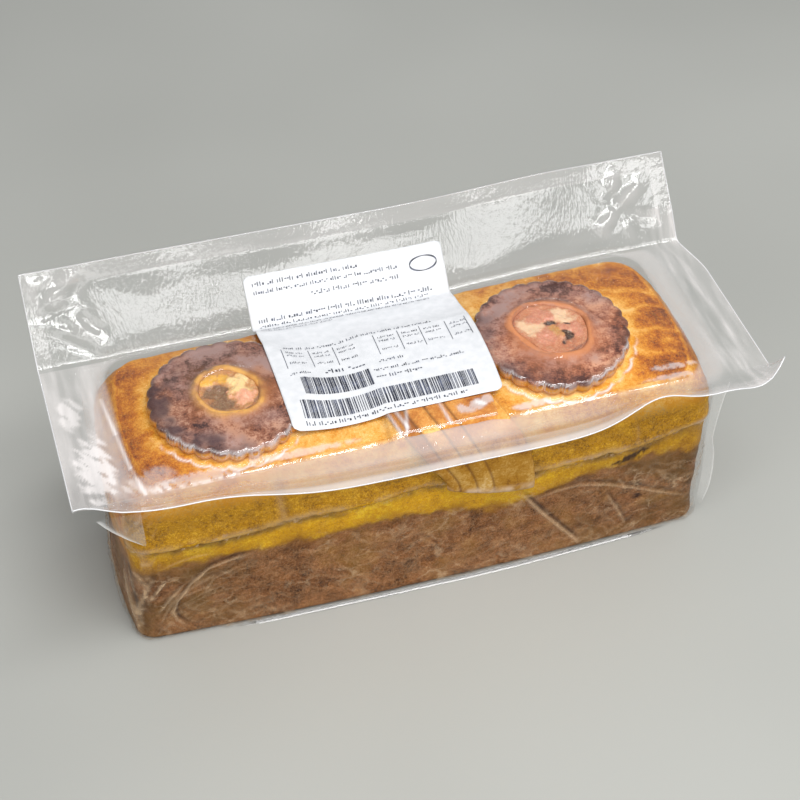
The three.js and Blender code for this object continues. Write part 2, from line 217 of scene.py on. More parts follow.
def back_swell(x):
    return BACK_SWELL * smooth(10, 115, x)


def lid_height(x, y):
    """Height of the plain lid above the base, inside the seam."""
    half_width = half_width_at(SEAM_Z)
    u = clamp01(np.abs(x) / half_length_at(SEAM_Z))
    v = clamp01(np.where(y < 0, -y / half_width, y / (half_width + back_swell(x))))
    return SEAM_Z + CROWN * (1 - u**8) * (1 - v**2.6)


print("the loaf is", 2 * HALF_LENGTH, "by", 2 * HALF_WIDTH, "mm, and its lid is",
      round(float(lid_height(0, 0)), 1), "mm up")

# %% Hoops round the loaf
CORNERS = ((1, 1), (-1, 1), (-1, -1), (1, -1))


def hoop_columns(back_steps, end_steps, front_steps, corner_steps):
    """For each column of a hoop: its two corners, how far it is between them, and its angle if on one."""
    columns = []
    steps = (back_steps, end_steps, front_steps, end_steps)
    for k, (sx, sy) in enumerate(CORNERS):
        nx, ny = CORNERS[(k + 1) % 4]
        for i in range(corner_steps + 1):
            columns.append((sx, sy, sx, sy, 0, 0, 0, (k + i / corner_steps) * math.pi / 2, 1))
        out = ((0, sy), (sx, 0))[k % 2]
        for i in range(1, steps[k]):
            columns.append((sx, sy, nx, ny, *out, i / steps[k], 0, 0))
    return np.array(columns, float).T


def hoop(half_x, half_y, radius, side_bow, columns):
    """X and Y of one hoop for each row of half_x and half_y: a rounded rectangle with bowed sides."""
    sx, sy, nx, ny, out_x, out_y, t, angle, corner = columns
    centre_x, centre_y = half_x - END_BOW - radius, half_y - side_bow - radius
    bow = 1 - (2 * t - 1) ** 2
    x = centre_x * (sx + (nx - sx) * t) + out_x * (radius + END_BOW * bow)
    y = centre_y * (sy + (ny - sy) * t) + out_y * (radius + side_bow * bow)
    return x + corner * radius * np.cos(angle), y + corner * radius * np.sin(angle)


def swelled(x, y):
    return y * (1 + np.where(y > 0, back_swell(x) / HALF_WIDTH, 0))


def wall_grid(levels, columns, inward=0.0, **ledge):
    """Hoops up the wall. Gives the points, and each one's level before the lid edge's humps."""
    z = np.asarray(levels, float)[:, None]
    radius = CORNER_RADIUS_AT_FOOT + (CORNER_RADIUS - CORNER_RADIUS_AT_FOOT) * (z / SEAM_Z) ** 2
    side_bow = SIDE_BOW + (SIDE_BOW_AT_FOOT - SIDE_BOW) * (1 - smooth(0, 40, z))
    half_x, half_y = half_length_at(z, **ledge) - inward, half_width_at(z, **ledge) - inward
    x, y = hoop(half_x, half_y, radius, side_bow, columns)
    level = z + 0 * x
    lifted = level + np.where(level < FOOT_RADIUS, 0, lid_edge_shift(x, level))
    return np.stack([x, swelled(x, y), lifted], axis=2), level


def lid_grid(insets, columns, inward=0.0):
    """Hoops that close in over the lid."""
    inset = np.asarray(insets, float)[:, None] + inward
    half_x, half_y = half_length_at(SEAM_Z) - inset, half_width_at(SEAM_Z) - inset
    bow = np.minimum(SIDE_BOW, np.maximum(half_y - 1.0, 0.1) * 0.3)
    radius = np.minimum(CORNER_RADIUS, np.maximum(half_y - bow - 0.3, 0.2))
    x, y = hoop(half_x, half_y, radius, bow, columns)
    y = swelled(x, y)
    return np.stack([x, y, lid_height(x, y) - inward], axis=2)


print("a hoop at the foot is", round(2 * float(half_length_at(0)), 1), "mm long")

# %% [markdown]
# ## Finishes: effects that several materials share
#
# Baked dough is never one colour: it has broad patches where the oven was hotter, a fine grain and
# small pores. Film has crinkles that break up every reflection. Each effect is a node group, built
# once with named inputs, so that crust, discs, leaves and film can all use it at their own scale.

# %% Small helpers for node trees
def add_node(tree, kind, inputs=None, **settings):
    """A node with its settings made and its inputs set or linked."""
    node = tree.nodes.new(kind)
    for name, value in settings.items():
        setattr(node, name, value)
    for name, value in (inputs or {}).items():
        if isinstance(value, bpy.types.NodeSocket):
            tree.links.new(value, node.inputs[name])
        else:
            node.inputs[name].default_value = value
    return node


def math_node(tree, operation, a, b=0.5, clamp=False):
    return add_node(tree, "ShaderNodeMath", {0: a, 1: b}, operation=operation, use_clamp=clamp).outputs[0]


def times(tree, a, b, clamp=False):
    return math_node(tree, "MULTIPLY", a, b, clamp)


def plus(tree, a, b, clamp=False):
    return math_node(tree, "ADD", a, b, clamp)


def centred(tree, value, strength):
    """Noise from 0 to 1 made into a swing round 0."""
    return times(tree, math_node(tree, "SUBTRACT", value, 0.5), strength)


def rescale(tree, value, low, high):
    """0 up to low and 1 from high on, or the other way round if low is the larger."""
    return add_node(tree, "ShaderNodeMapRange", {
        "Value": value, "From Min": low, "From Max": high}).outputs[0]


def cloud_node(tree, place, scale, detail, roughness=0.5, distortion=0.0):
    """The outputs of a cloudy noise. scale is in waves per metre."""
    return add_node(tree, "ShaderNodeTexNoise", {
        "Vector": place, "Scale": scale, "Detail": detail, "Roughness": roughness,
        "Distortion": distortion}).outputs


def mask_of(tree, name):
    """The numbers that a piece carries under that name."""
    return add_node(tree, "ShaderNodeAttribute", attribute_name=name).outputs["Fac"]


def colour(red, green, blue):
    """A colour as a picture shows it, from 0 to 255, in the linear values that shaders take."""
    def linear(c):
        c = c / 255
        return c / 12.92 if c <= 0.04045 else ((c + 0.055) / 1.055) ** 2.4
    return (linear(red), linear(green), linear(blue), 1.0)


def colour_scale(tree, value, stops):
    """Colours along a scale from 0 to 1. stops are (place, red, green, blue)."""
    ramp = add_node(tree, "ShaderNodeValToRGB", {"Fac": value})
    ramp.color_ramp.interpolation = "EASE"
    for i, (place, *tone) in enumerate(stops):
        element = ramp.color_ramp.elements[i] if i < 2 else ramp.color_ramp.elements.new(place)
        element.position = place
        element.color = colour(*tone)
    return ramp.outputs["Color"]


def mix_colours(tree, share, a, b):
    """Colour a with a share of colour b over it."""
    node = add_node(tree, "ShaderNodeMix", data_type="RGBA")
    for socket, value in ((node.inputs[0], share), (node.inputs[6], a), (node.inputs[7], b)):
        if isinstance(value, bpy.types.NodeSocket):
            tree.links.new(value, socket)
        else:
            socket.default_value = value
    return node.outputs[2]


def painted(tree, shade, mask, share, tone):
    """The shade with a share of a tone over it, where the piece's mask of that name is 1."""
    return mix_colours(tree, times(tree, mask_of(tree, mask), share), shade, colour(*tone))


def new_material(name):
    """A material with an empty tree and its output. The caller adds the shaders."""
    material = bpy.data.materials.new(name)
    material.use_nodes = True
    tree = material.node_tree
    tree.nodes.clear()
    output = tree.nodes.new("ShaderNodeOutputMaterial")
    return material, tree, output.inputs["Surface"]


def end_material(tree, surface, shade, roughness, bump=None, **more):
    """The last nodes of an opaque material. bump is a height, a strength and a depth in metres. The
    names of further inputs have their spaces as underscores here."""
    inputs = {"Base Color": shade, "Roughness": roughness}
    if bump:
        height, strength, depth = bump
        inputs["Normal"] = add_node(tree, "ShaderNodeBump", {
            "Strength": strength, "Distance": depth, "Height": height}).outputs["Normal"]
    inputs.update({name.replace("_", " "): value for name, value in more.items()})
    tree.links.new(add_node(tree, "ShaderNodeBsdfPrincipled", inputs).outputs["BSDF"], surface)


def new_group(name, inputs, outputs):
    """A shader node group with float inputs (name: default) and float outputs."""
    group = bpy.data.node_groups.new(name, "ShaderNodeTree")
    for socket, default in inputs.items():
        made = group.interface.new_socket(name=socket, in_out="INPUT", socket_type="NodeSocketFloat")
        made.default_value = default
    for socket in outputs:
        group.interface.new_socket(name=socket, in_out="OUTPUT", socket_type="NodeSocketFloat")
    return group, group.nodes.new("NodeGroupInput").outputs, group.nodes.new("NodeGroupOutput").inputs


def use_group(tree, group, **inputs):
    """A group placed in a tree. An input's name has its spaces as underscores here."""
    values = {name.replace("_", " "): value for name, value in inputs.items()}
    return add_node(tree, "ShaderNodeGroup", values, node_tree=group).outputs


print("mid grey, 128 of 255, is", round(colour(128, 128, 128)[0], 3), "in linear values")

# %% Effect: baked dough
def baked_dough_group():
    """Patches, grain and fine veins from 0 to 1, and a height for bump. Scales are in waves per metre."""
    group, given, result = new_group(
        "Baked dough", {"Patch scale": 55.0, "Grain scale": 900.0}, ("Patches", "Grain", "Veins", "Height"))
    place = add_node(group, "ShaderNodeTexCoord").outputs["Object"]
    patches = cloud_node(group, place, given["Patch scale"], 5.0, 0.62)["Fac"]
    grain = cloud_node(group, place, given["Grain scale"], 3.0, 0.7)["Fac"]
    vein_scale = times(group, given["Patch scale"], 1.7)
    winding = cloud_node(group, place, vein_scale, 3.0, 0.6, 0.8)["Fac"]
    off_middle = math_node(group, "ABSOLUTE", math_node(group, "SUBTRACT", winding, 0.5))
    veins = rescale(group, off_middle, 0.035, 0.0)
    height = plus(group, times(group, patches, 0.6), times(group, grain, 0.4))
    for name, value in (("Patches", patches), ("Grain", grain), ("Veins", veins), ("Height", height)):
        group.links.new(value, result[name])
    return group


baked_dough = baked_dough_group()
print(baked_dough.name, "is a group of", len(baked_dough.nodes), "nodes")

# %% Effect: crinkled film
def crinkled_film_group():
    """Crinkles as a height for bump, and a net of crease lines from 0 to 1 that is broken up."""
    group, given, result = new_group(
        "Crinkled film", {"Crinkle scale": 420.0, "Streak scale": 60.0, "Crease scale": 90.0},
        ("Height", "Creases"))
    place = add_node(group, "ShaderNodeTexCoord").outputs["Object"]
    upright = add_node(group, "ShaderNodeVectorMath", {0: place, 1: (1.0, 0.4, 0.4)}, operation="MULTIPLY")
    fine = cloud_node(group, upright.outputs[0], given["Crinkle scale"], 2.0)["Fac"]
    broad = cloud_node(group, place, given["Streak scale"], 4.0, 0.65)["Fac"]
    bend = cloud_node(group, place, given["Crease scale"], 3.0)["Color"]
    pushed = add_node(
        group, "ShaderNodeVectorMath", {0: bend, 1: (0.02, 0.02, 0.02)}, operation="MULTIPLY")
    bent = add_node(group, "ShaderNodeVectorMath", {0: place, 1: pushed.outputs[0]}, operation="ADD")
    bent = add_node(group, "ShaderNodeMapping", {
        "Vector": bent.outputs[0], "Rotation": (0.0, 0.6, 0.0), "Scale": (0.45, 1.0, 1.3)})
    net = add_node(
        group, "ShaderNodeTexVoronoi", {"Vector": bent.outputs[0], "Scale": given["Crease scale"]},
        feature="DISTANCE_TO_EDGE")
    lines = rescale(group, net.outputs["Distance"], 0.075, 0.0)
    broken = rescale(group, broad, 0.48, 0.66)
    group.links.new(plus(group, times(group, fine, 0.9), broad), result["Height"])
    group.links.new(times(group, lines, broken), result["Creases"])
    return group


crinkled_film = crinkled_film_group()
print(crinkled_film.name, "is a group of", len(crinkled_film.nodes), "nodes")

# %% [markdown]
# ## The crust
#
# Egg-washed dough bakes golden on top and pale yellow where the lid laps over the wall. The lower
# wall stood in the tin and is matt brown. A scan would catch this best, but a formula that paints
# "how baked" on each point, with a scale of colours that turns this into shades, can be steered:
# the pale rings round the discs and the scored lines at the right end are put where they belong.

# %% The crust's places
DISCS = {
    "left": {"middle": (-85.5, -2.0), "hole": 14.0},
    "right": {"middle": (73.0, -3.5), "hole": 17.5},
}
DISC_RADIUS = 38
SCORED_LINES = (  # on the lid, right of the right disc
    ((112, 23), (135, 18)),
    ((114, 7), (139, 9)),
    ((112, -8), (138, -11)),
    ((104, -22), (134, -27)),
)
PLAIN_BAKE = 0.42
PALE_BY_DISC, PALE_REACH = 0.26, 6.0
PALE_IN_SCORE, SCORE_HALF_WIDTH = 0.34, 1.6
LID_PATCHES = (  # darker and paler places of the lid: middle, reach and how much darker
    ((-128, 5), (13, 60), 0.30),
    ((112, 36), (30, 12), 0.28),
    ((128, -2), (15, 40), 0.34),
    ((120, -32), (28, 12), 0.32),
    ((-112, -32), (18, 10), 0.16),
    ((-30, -38), (60, 9), -0.10),
)
FRONT_WALL_Y = -30  # what lies in front of this belongs to the front wall
BURNT_SPOTS = (  # X, Z and reach on the front wall
    (95.5, 55.5, (3.4, 1.8)),
    (100.5, 57.5, (3.6, 2.2)),
    (105, 58.5, (3.8, 2.6)),
    (109.5, 61, (3.2, 1.8)),
    (109.7, 26.5, (3.0, 2.7)),
)
BROWN_EDGE = np.array((  # X and height where the brown of the lower wall ends
    (-148, 48), (-137, 49), (-120, 51), (-95, 53), (-65, 52), (-33, 53), (-5, 51), (24, 44), (47, 45),
    (63, 50), (83, 51), (100, 56), (114, 58), (141, 53)))
FRONT_FOLDS = (  # places on the front wall as X and Z, then half width and height
    (((45, 52), (57, 34), (69, 18), (79, 5)), 0.95, 1.3),
    (((53, 45), (64, 47.5), (76, 48), (91, 43.5), (106, 36.5), (122, 28), (138, 19.5)), 0.8, 0.8),
    (((91, 37), (98, 23), (104, 10)), 0.75, 0.8),
    (((17.7, 73.6), (27.5, 66.6), (42.9, 61.4), (55.7, 61.3)), 1.6, 1.0),
    (((-86, 51), (-97, 50), (-109, 47), (-118, 39), (-125, 28), (-127.5, 20), (-126, 13), (-121, 7)),
     0.75, 1.0),
    (((-124, 32), (-130, 22), (-134, 12)), 0.7, 0.5),
    (((-135.7, 48), (-139, 38), (-142, 28), (-144.5, 14)), 0.85, 1.2),
    (((-129.4, 44), (-134.7, 37), (-138.2, 31)), 0.8, 1.0),
    (((-122, 38), (-128.5, 31), (-134.5, 21)), 0.8, 0.9),
    (((-130, 53), (-123, 55.5), (-114, 57), (-107, 56.5)), 0.65, 0.5),
    (((-112.8, 30), (-107, 39), (-95, 43.5)), 0.65, 0.5),
    (((-147.5, 84), (-148, 68), (-147, 50), (-146.5, 36), (-145, 20), (-143.5, 4)), 0.9, 1.2),
    (((96, 46), (99, 42), (101, 37)), 0.7, 0.6),
    (((-40, 52), (-37, 45), (-31, 40)), 0.7, 0.45),
    (((-6, 36), (2, 28), (4, 18)), 0.7, 0.4),
    (((-75, 97), (-74, 84), (-72, 70)), 1.8, 0.5),
    (((102, 84), (103, 77), (103, 70)), 0.9, 0.3),
)


def near_path(x, z, places, half_width):
    """1 on a path through those places, fading out at its half width and at its two ends."""
    near = np.zeros(np.shape(x))
    for k, ends in enumerate(zip(places[:-1], places[1:])):
        away, along = near_line(x, z, ends)
        whole = (k + along) / (len(places) - 1)
        ends_fade = np.minimum(1, 6 * np.minimum(whole, 1 - whole) + 0.1)
        near = np.maximum(near, bell(away, half_width) * ends_fade)
    return near


def lid_bake(x, y):
    """How baked the lid is, from 0, pale, to 1, dark."""
    bake = np.full(np.shape(x), PLAIN_BAKE)
    for middle, reach, darker in LID_PATCHES:
        bake += darker * spot(x, y, middle, reach)
    for disc in DISCS.values():
        away = np.hypot(x - disc["middle"][0], y - disc["middle"][1]) - DISC_RADIUS
        bake -= PALE_BY_DISC * bell(np.maximum(away, 0), PALE_REACH)
    for ends in SCORED_LINES:
        away, _ = near_line(x, y + 0.9 * np.sin(x / 2.6), ends)
        bake -= PALE_IN_SCORE * bell(away, SCORE_HALF_WIDTH)
    return bake


print("the crust has", len(SCORED_LINES), "scored lines, and its film", len(FRONT_FOLDS), "folds in front")

# %% The crust as a mesh
CRUST_IN = 1.2  # the crust lies this much inside the film
CRUST_STEP = 1.15
LEDGE_RISE, CRACK_DEPTH, PIT_DEPTH = 0.8, 1.6, 1.4
MOST_RELIEF = 0.85  # so that no bump of the crust comes through the film


def foot_levels(step):
    return [0, 0.3, 0.8, 1.5, 2.3, 3.2, *np.arange(4.4, 12, step * 0.9)]


def crust_levels():
    low = foot_levels(CRUST_STEP)
    under_lid = list(np.arange(low[-1] + CRUST_STEP, 61, CRUST_STEP))
    edge = list(np.arange(61.5, 69, 0.75))
    return low + under_lid + edge + list(np.linspace(70.2, SEAM_Z, 24))


def build_crust(material):
    columns = hoop_columns(back_steps=130, end_steps=54, front_steps=420, corner_steps=9)
    wall, level = wall_grid(crust_levels(), columns, inward=CRUST_IN, ledge=1.0)
    insets = np.concatenate([[0.8], np.arange(2.0, 42.5, CRUST_STEP), [43.2]])
    lid = lid_grid(insets, columns, inward=CRUST_IN)
    grid = np.concatenate([wall, lid])
    on_lid = np.concatenate([0 * level, 1 + 0 * lid[..., 0]])
    on_wall = 1 - on_lid
    level = np.concatenate([level, SEAM_Z + 0 * lid[..., 0]])
    normal = grid_normals(grid, ring=True)
    x, y, z = grid[..., 0], grid[..., 1], grid[..., 2]
    in_front = y < FRONT_WALL_Y

    # relief: the lid's ragged edge with a crack under it, pits in the brown wall, burnt spots and folds
    broad = rough(grid, (22, 22, 12), seed=1)
    medium = rough(grid, 6.5, seed=2)
    fine = rough(grid, 2.4, seed=3, octaves=2)
    ragged_edge = level - LID_EDGE_Z + 1.5 * rough(grid, (9, 9, 30), seed=4)
    ragged_edge = ragged_edge + 1.6 * rough(grid, (26, 26, 60), seed=8)
    ragged_edge = ragged_edge + 0.7 * rough(grid, (3.2, 3.2, 12), seed=12, octaves=2)
    ledge = smooth(-1.2, 1.2, ragged_edge) * (1 - smooth(2, 12, ragged_edge))
    crack_width = 0.95 + 0.7 * rough(grid, (8, 8, 40), seed=13)
    # the crack's profile: it dents the wall, and as a mask it paints shade into the crack
    shaded_crack = bell(ragged_edge + 1.0, np.maximum(crack_width, 0.4))
    shaded_crack = shaded_crack * mottled(grid, 0.85, 0.9, (12, 12, 40), seed=9)
    belly = bell(level - 57, 6.0)
    relief = 0.45 * broad + 0.25 * medium + 0.14 * fine
    relief = relief + LEDGE_RISE * ledge - CRACK_DEPTH * shaded_crack + 0.3 * belly
    pits = np.minimum(0, rough(grid, 11, seed=5) + 0.32) * PIT_DEPTH
    above_brown = z - np.interp(x, *BROWN_EDGE.T) + 3.0 * broad + 1.6 * medium
    lower = 1 - smooth(-3.0, 2.0, above_brown)
    relief = relief + pits * on_wall * lower - 0.35 * lower
    for spot_x, spot_z, reach in BURNT_SPOTS:
        relief = relief - 0.8 * spot(x, z, (spot_x, spot_z), reach) * (y < 0)
    for places, half_width, _ in FRONT_FOLDS:
        relief = relief - 0.5 * near_path(x, z, places, 1.6 * half_width) * in_front
    grid = grid + normal * (np.minimum(relief, MOST_RELIEF) * smooth(0, 4, z))[..., None]

    # masks: where the finish changes its colour
    burnt = sum(spot(x, z, (sx, sz), reach) for sx, sz, reach in BURNT_SPOTS) * in_front
    burnt = smooth(0.35, 1.0, burnt + 0.5 * rough(grid, 1.6, seed=15, octaves=2))
    bake = np.where(on_lid > 0.5, lid_bake(x, y), 0.40)
    bake = bake + 0.10 * broad + 0.05 * medium + 0.25 * smooth(125, 140, np.abs(x)) * (1 - lower)
    under_edge = (1 - lower) * (1 - smooth(-1.5, 0.8, ragged_edge))
    yellow = under_edge * (0.3 + 0.7 * smooth(-140, -60, x))
    yellow = yellow * (1 - 0.45 * smooth(45, 75, x))
    toasted = bell(above_brown - 0.5, 5.5) * on_wall * mottled(grid, 0.7, 0.8, 13, seed=14)
    toasted = np.maximum(toasted, 0.45 * smooth(50, 95, x) * under_edge)
    crest = bell(ragged_edge - 2.2, 2.0) * on_wall * mottled(grid, 0.6, 1.2, 14, seed=6)
    # painted shade in a band under the crack, then a darker tone towards both ends of the lower wall
    olive = bell(ragged_edge + 3.2, 1.8) * mottled(grid, 0.5, 1.2, 10, seed=10) * on_wall
    olive = olive + lower * clamp01(0.5 + 1.2 * broad) * (
        0.95 * smooth(-70, -120, x) + 0.95 * smooth(50, 110, x))
    sole = (1 - smooth(9, 14, z + 2 * medium)) * mottled(grid, 0.7, 1.0, 12, seed=11) * (y < 0)
    shadow = np.maximum.reduce([near_path(x - 1.5, z, places, 1.3 * half_width) * min(1, rise) ** 2
                                for places, half_width, rise in FRONT_FOLDS]) * in_front
    wall = on_wall * (1 - smooth(82, 96, level)) * smooth(30, 42, np.abs(y))

    tips = [[0, 0, CRUST_IN * 0.2], [0, 0, lid_height(0, 0) - CRUST_IN]]
    rows, count = grid.shape[:2]
    faces = grid_faces(rows, count, ring=True)
    faces += fan(rows * count, 0, count, upward=False)
    faces += fan(rows * count + 1, (rows - 1) * count, count, upward=True)
    masks = {"bake": bake, "lower": lower, "yellow": yellow, "wall": wall, "burnt": clamp01(burnt),
             "shaded_crack": shaded_crack * on_wall, "crest": crest, "shadow": shadow, "olive": olive, "sole": sole,
             "toasted": toasted}
    masks = {name: np.concatenate([mask.ravel(), mask[[0, -1], 0]]) for name, mask in masks.items()}
    return make_piece("crust_loaf", np.concatenate([grid.reshape(-1, 3), tips]), faces, material, masks,
                      ("sealed_bag",))


# %% The crust's finish
LID_SHADES = (  # place on the scale, then red, green and blue
    (0.0, 250, 210, 134),
    (0.25, 238, 182, 88),
    (0.46, 222, 152, 46),
    (0.66, 196, 118, 30),
    (0.85, 162, 88, 26),
    (1.0, 118, 58, 24),
)
WALL_SHADES = ((0.08, 118, 78, 2), (0.38, 170, 118, 2), (0.65, 190, 136, 4), (0.92, 218, 168, 40))
YOLK_SHADES = ((0.1, 170, 116, 2), (0.45, 220, 162, 2), (0.8, 244, 202, 34))
BROWN_SHADES = ((0.05, 66, 36, 14), (0.4, 124, 78, 40), (0.62, 152, 100, 58), (0.95, 198, 148, 100))
CRUST_TONES = (  # mask, how much it covers, and its colour
    ("toasted", 0.55, (132, 80, 20)),
    # painted shade under the crack, and darker towards both ends of the lower wall
    ("olive", 0.7, (100, 70, 24)),
    ("crest", 0.7, (206, 168, 108)),
    ("shadow", 0.85, (70, 40, 20)),
    # painted shade in the crack under the lid's edge
    ("shaded_crack", 0.9, (70, 54, 8)),
    ("burnt", 0.92, (44, 20, 18)),
)


def crust_material():
    material, tree, surface = new_material("baked crust")
    broad = use_group(tree, baked_dough, Patch_scale=40.0, Grain_scale=700.0)
    small = use_group(tree, baked_dough, Patch_scale=150.0, Grain_scale=1500.0)
    patchy = plus(tree, centred(tree, broad["Patches"], 0.8), centred(tree, small["Patches"], 0.75))
    grainy = plus(tree, centred(tree, broad["Grain"], 0.8), centred(tree, small["Grain"], 0.9))
    uneven = plus(tree, patchy, grainy)
    cloudy = plus(tree, times(tree, patchy, 1.4), times(tree, grainy, 0.85))
    shade = colour_scale(tree, plus(tree, mask_of(tree, "bake"), cloudy), LID_SHADES)
    wall = colour_scale(tree, plus(tree, times(tree, uneven, 1.65), 0.49), WALL_SHADES)
    shade = mix_colours(tree, mask_of(tree, "wall"), shade, wall)
    yolk = colour_scale(tree, plus(tree, uneven, 0.5), YOLK_SHADES)
    shade = mix_colours(tree, mask_of(tree, "yellow"), shade, yolk)
    rubbed = plus(tree, times(tree, patchy, 1.5), times(tree, grainy, 1.15))
    brown = colour_scale(tree, plus(tree, rubbed, 0.46), BROWN_SHADES)
    olive = rescale(tree, broad["Patches"], 0.5, 0.68)
    brown = mix_colours(tree, times(tree, olive, 0.6), brown, colour(128, 92, 30))
    brown = mix_colours(tree, times(tree, small["Veins"], 0.22), brown, colour(206, 164, 122))
    brown = mix_colours(tree, times(tree, broad["Veins"], 0.22), brown, colour(196, 150, 106))
    brown = painted(tree, brown, "sole", 0.2, (150, 112, 82))
    shade = mix_colours(tree, times(tree, small["Veins"], 0.14), shade, colour(250, 208, 100))
    shade = mix_colours(tree, mask_of(tree, "lower"), shade, brown)
    for mask, share, tone in CRUST_TONES:
        shade = painted(tree, shade, mask, share, tone)
    end_material(tree, surface, shade, 0.55, (broad["Height"], 0.5, 0.0006), Specular_IOR_Level=0.15)
    return material


build_crust(crust_material())

# %% [markdown]
# ## The pastry discs
#
# Each disc was cut with a fluted ring and a hole pressed through it, so its rim is scalloped and
# stands up a little, with a collar round the hole. Turning a profile round its middle gives all of
# that, as on a potter's wheel, when the outer part of the profile moves in and out with the flutes.

# %% A disc as a mesh
GAP = 0.4  # air between a piece of pastry and what it lies on
FLUTES, FLUTE_DEPTH = 28, 1.7


def flute_inset(angle):
    return FLUTE_DEPTH * (1 - np.abs(np.sin(FLUTES * angle / 2)) ** 0.8)


def disc_profile(hole):
    """Radius and height above the lid, from the hole's foot over the disc to the edge's foot."""
    collar = ((0.2, 0.0), (0, 1.8), (-0.1, 3.6), (-0.5, 4.6), (-0.4, 5.3), (0.2, 5.8), (1.1, 5.95),
              (2.2, 5.7), (3.3, 5.25), (4.5, 4.9), (5.6, 4.7))
    floor = [(r, 4.65) for r in np.linspace(hole + 6.4, DISC_RADIUS - 7.5, 14)]
    rim = ((-6.3, 4.65), (-5.2, 4.7), (-4.2, 4.85), (-3.3, 5.05), (-2.4, 5.15), (-1.6, 5.05), (-0.9, 4.7),
           (-0.4, 4.1), (-0.15, 3.3), (-0.1, 2.4), (-0.25, 1.4), (-0.5, 0.5), (-0.7, 0.0))
    return np.array([(hole + r, z) for r, z in collar] + floor + [(DISC_RADIUS + r, z) for r, z in rim])


def hole_shift(side, angle):
    """How far the hole's edge stands out from a circle: an oval that isn't quite even."""
    hole = DISCS[side]["hole"]
    oval, uneven = 0.09 * np.cos(2 * (angle + 0.93)), 0.035 * np.cos(3 * angle + hole)
    return hole * (oval + uneven + 0.02 * np.sin(5 * angle))


def disc_points(side, radius, angle, height):
    cx, cy = DISCS[side]["middle"]
    x, y = cx + radius * np.cos(angle), cy + radius * np.sin(angle)
    return np.stack([x, y, lid_height(x, y) + GAP + height], axis=-1)


def disc_flutes(radius, angle):
    share = smooth(DISC_RADIUS - 7, DISC_RADIUS - 2.5, radius)
    return radius - share * flute_inset(angle)


def build_disc(side, seed, material):
    (_, middle_y), hole = DISCS[side]["middle"], DISCS[side]["hole"]
    profile = disc_profile(hole)
    angle = np.linspace(0, 2 * math.pi, FLUTES * 12, endpoint=False)[None, :]
    radius = profile[:, 0][:, None] + 0 * angle
    height = profile[:, 1][:, None] + 0 * angle
    grid = disc_points(side, disc_flutes(radius, angle), angle, height)
    on_top = smooth(2.0, 4.0, height)
    collar = bell(radius - hole - 1.2, 2.0)
    off_collar = np.maximum(0, radius - hole - 1)
    rim = smooth(DISC_RADIUS - 5, DISC_RADIUS - 2, radius)
    lift = 0.40 * rough(grid, 14, seed) + 0.10 * rough(grid, 3.2, seed + 1)
    lift = lift + collar * 0.7 * rough(grid, 9, seed + 2)
    grid[..., 2] += lift * on_top
    drift = hole_shift(side, angle) * bell(off_collar, 5.0) * on_top + 0.3 * rough(grid, 5, seed + 3) * rim
    grid[..., 0] += drift * np.cos(angle)
    grid[..., 1] += drift * np.sin(angle)
    side_wall = (1 - smooth(2.6, 4.4, height)) * (radius > DISC_RADIUS - 3)
    warm_way = {"left": 0.4, "right": -1.9}[side]  # the angle at which the disc is warmest
    glow = bell(off_collar, 7.5) * (0.75 + 0.35 * np.cos(angle - warm_way))
    # painted sheen: the film's greyish reflection on the disc, in patches and lighter towards its back
    painted_sheen = 0.2 + 0.9 * rough(grid, 15, seed + 4) + 0.7 * smooth(0, 24, grid[..., 1] - middle_y)
    # darker purple-grey blotches on the outer part of the disc, towards its left and front
    rim_blotches = smooth(hole + 7, DISC_RADIUS - 6, radius) * smooth(0.1, 0.8, np.cos(angle + 2.8))
    masks = {
        "rim": rim * (1 - side_wall) * mottled(grid, 0.6, 1.1, 12, seed + 5),
        "side": side_wall,
        "collar": clamp01(collar * (0.85 + 0.6 * rough(grid, 7, seed + 6))),
        "glow": clamp01(glow + 0.4 * rough(grid, 16, seed + 7)),
        "painted_sheen": clamp01(painted_sheen),
        "rim_blotches": clamp01(rim_blotches * (0.6 + 1.5 * rough(grid, 9, seed + 8))),
    }
    rows, count = grid.shape[:2]
    faces = grid_faces(rows, count, ring=True)
    last = (rows - 1) * count
    faces += [(last + i, last + (i + 1) % count, (i + 1) % count, i) for i in range(count)]
    return make_piece(f"fluted_disc_{side}", grid, [f[::-1] for f in faces], material, masks,
                      (f"pastry_disc_{side}",))


# %% The discs' finish
def disc_material(side, shades, collar_tone, glow_tone, rim_blotch_share):
    material, tree, surface = new_material(f"dark pastry {side}")
    broad = use_group(tree, baked_dough, Patch_scale=60.0, Grain_scale=1100.0)
    small = use_group(tree, baked_dough, Patch_scale=320.0, Grain_scale=2200.0)
    uneven = plus(tree, centred(tree, broad["Patches"], 3.6), centred(tree, small["Patches"], 1.9))
    uneven = plus(tree, uneven, centred(tree, broad["Grain"], 1.5))
    shade = colour_scale(tree, plus(tree, uneven, 0.5), shades)
    shade = painted(tree, shade, "glow", 0.85, glow_tone)
    # painted sheen of the film over the pastry
    painted_sheen = times(tree, mask_of(tree, "painted_sheen"), plus(tree, uneven, 0.7), clamp=True)
    shade = mix_colours(tree, painted_sheen, shade, colour(178, 146, 138))
    shade = painted(tree, shade, "rim_blotches", rim_blotch_share, (84, 60, 64))
    shade = painted(tree, shade, "rim", 0.5, (82, 44, 34))
    shade = mix_colours(tree, mask_of(tree, "side"), shade, colour(206, 142, 52))
    shade = painted(tree, shade, "collar", 0.9, collar_tone)
    end_material(tree, surface, shade, 0.5, (broad["Height"], 0.6, 0.0006), Specular_IOR_Level=0.2)
    return material


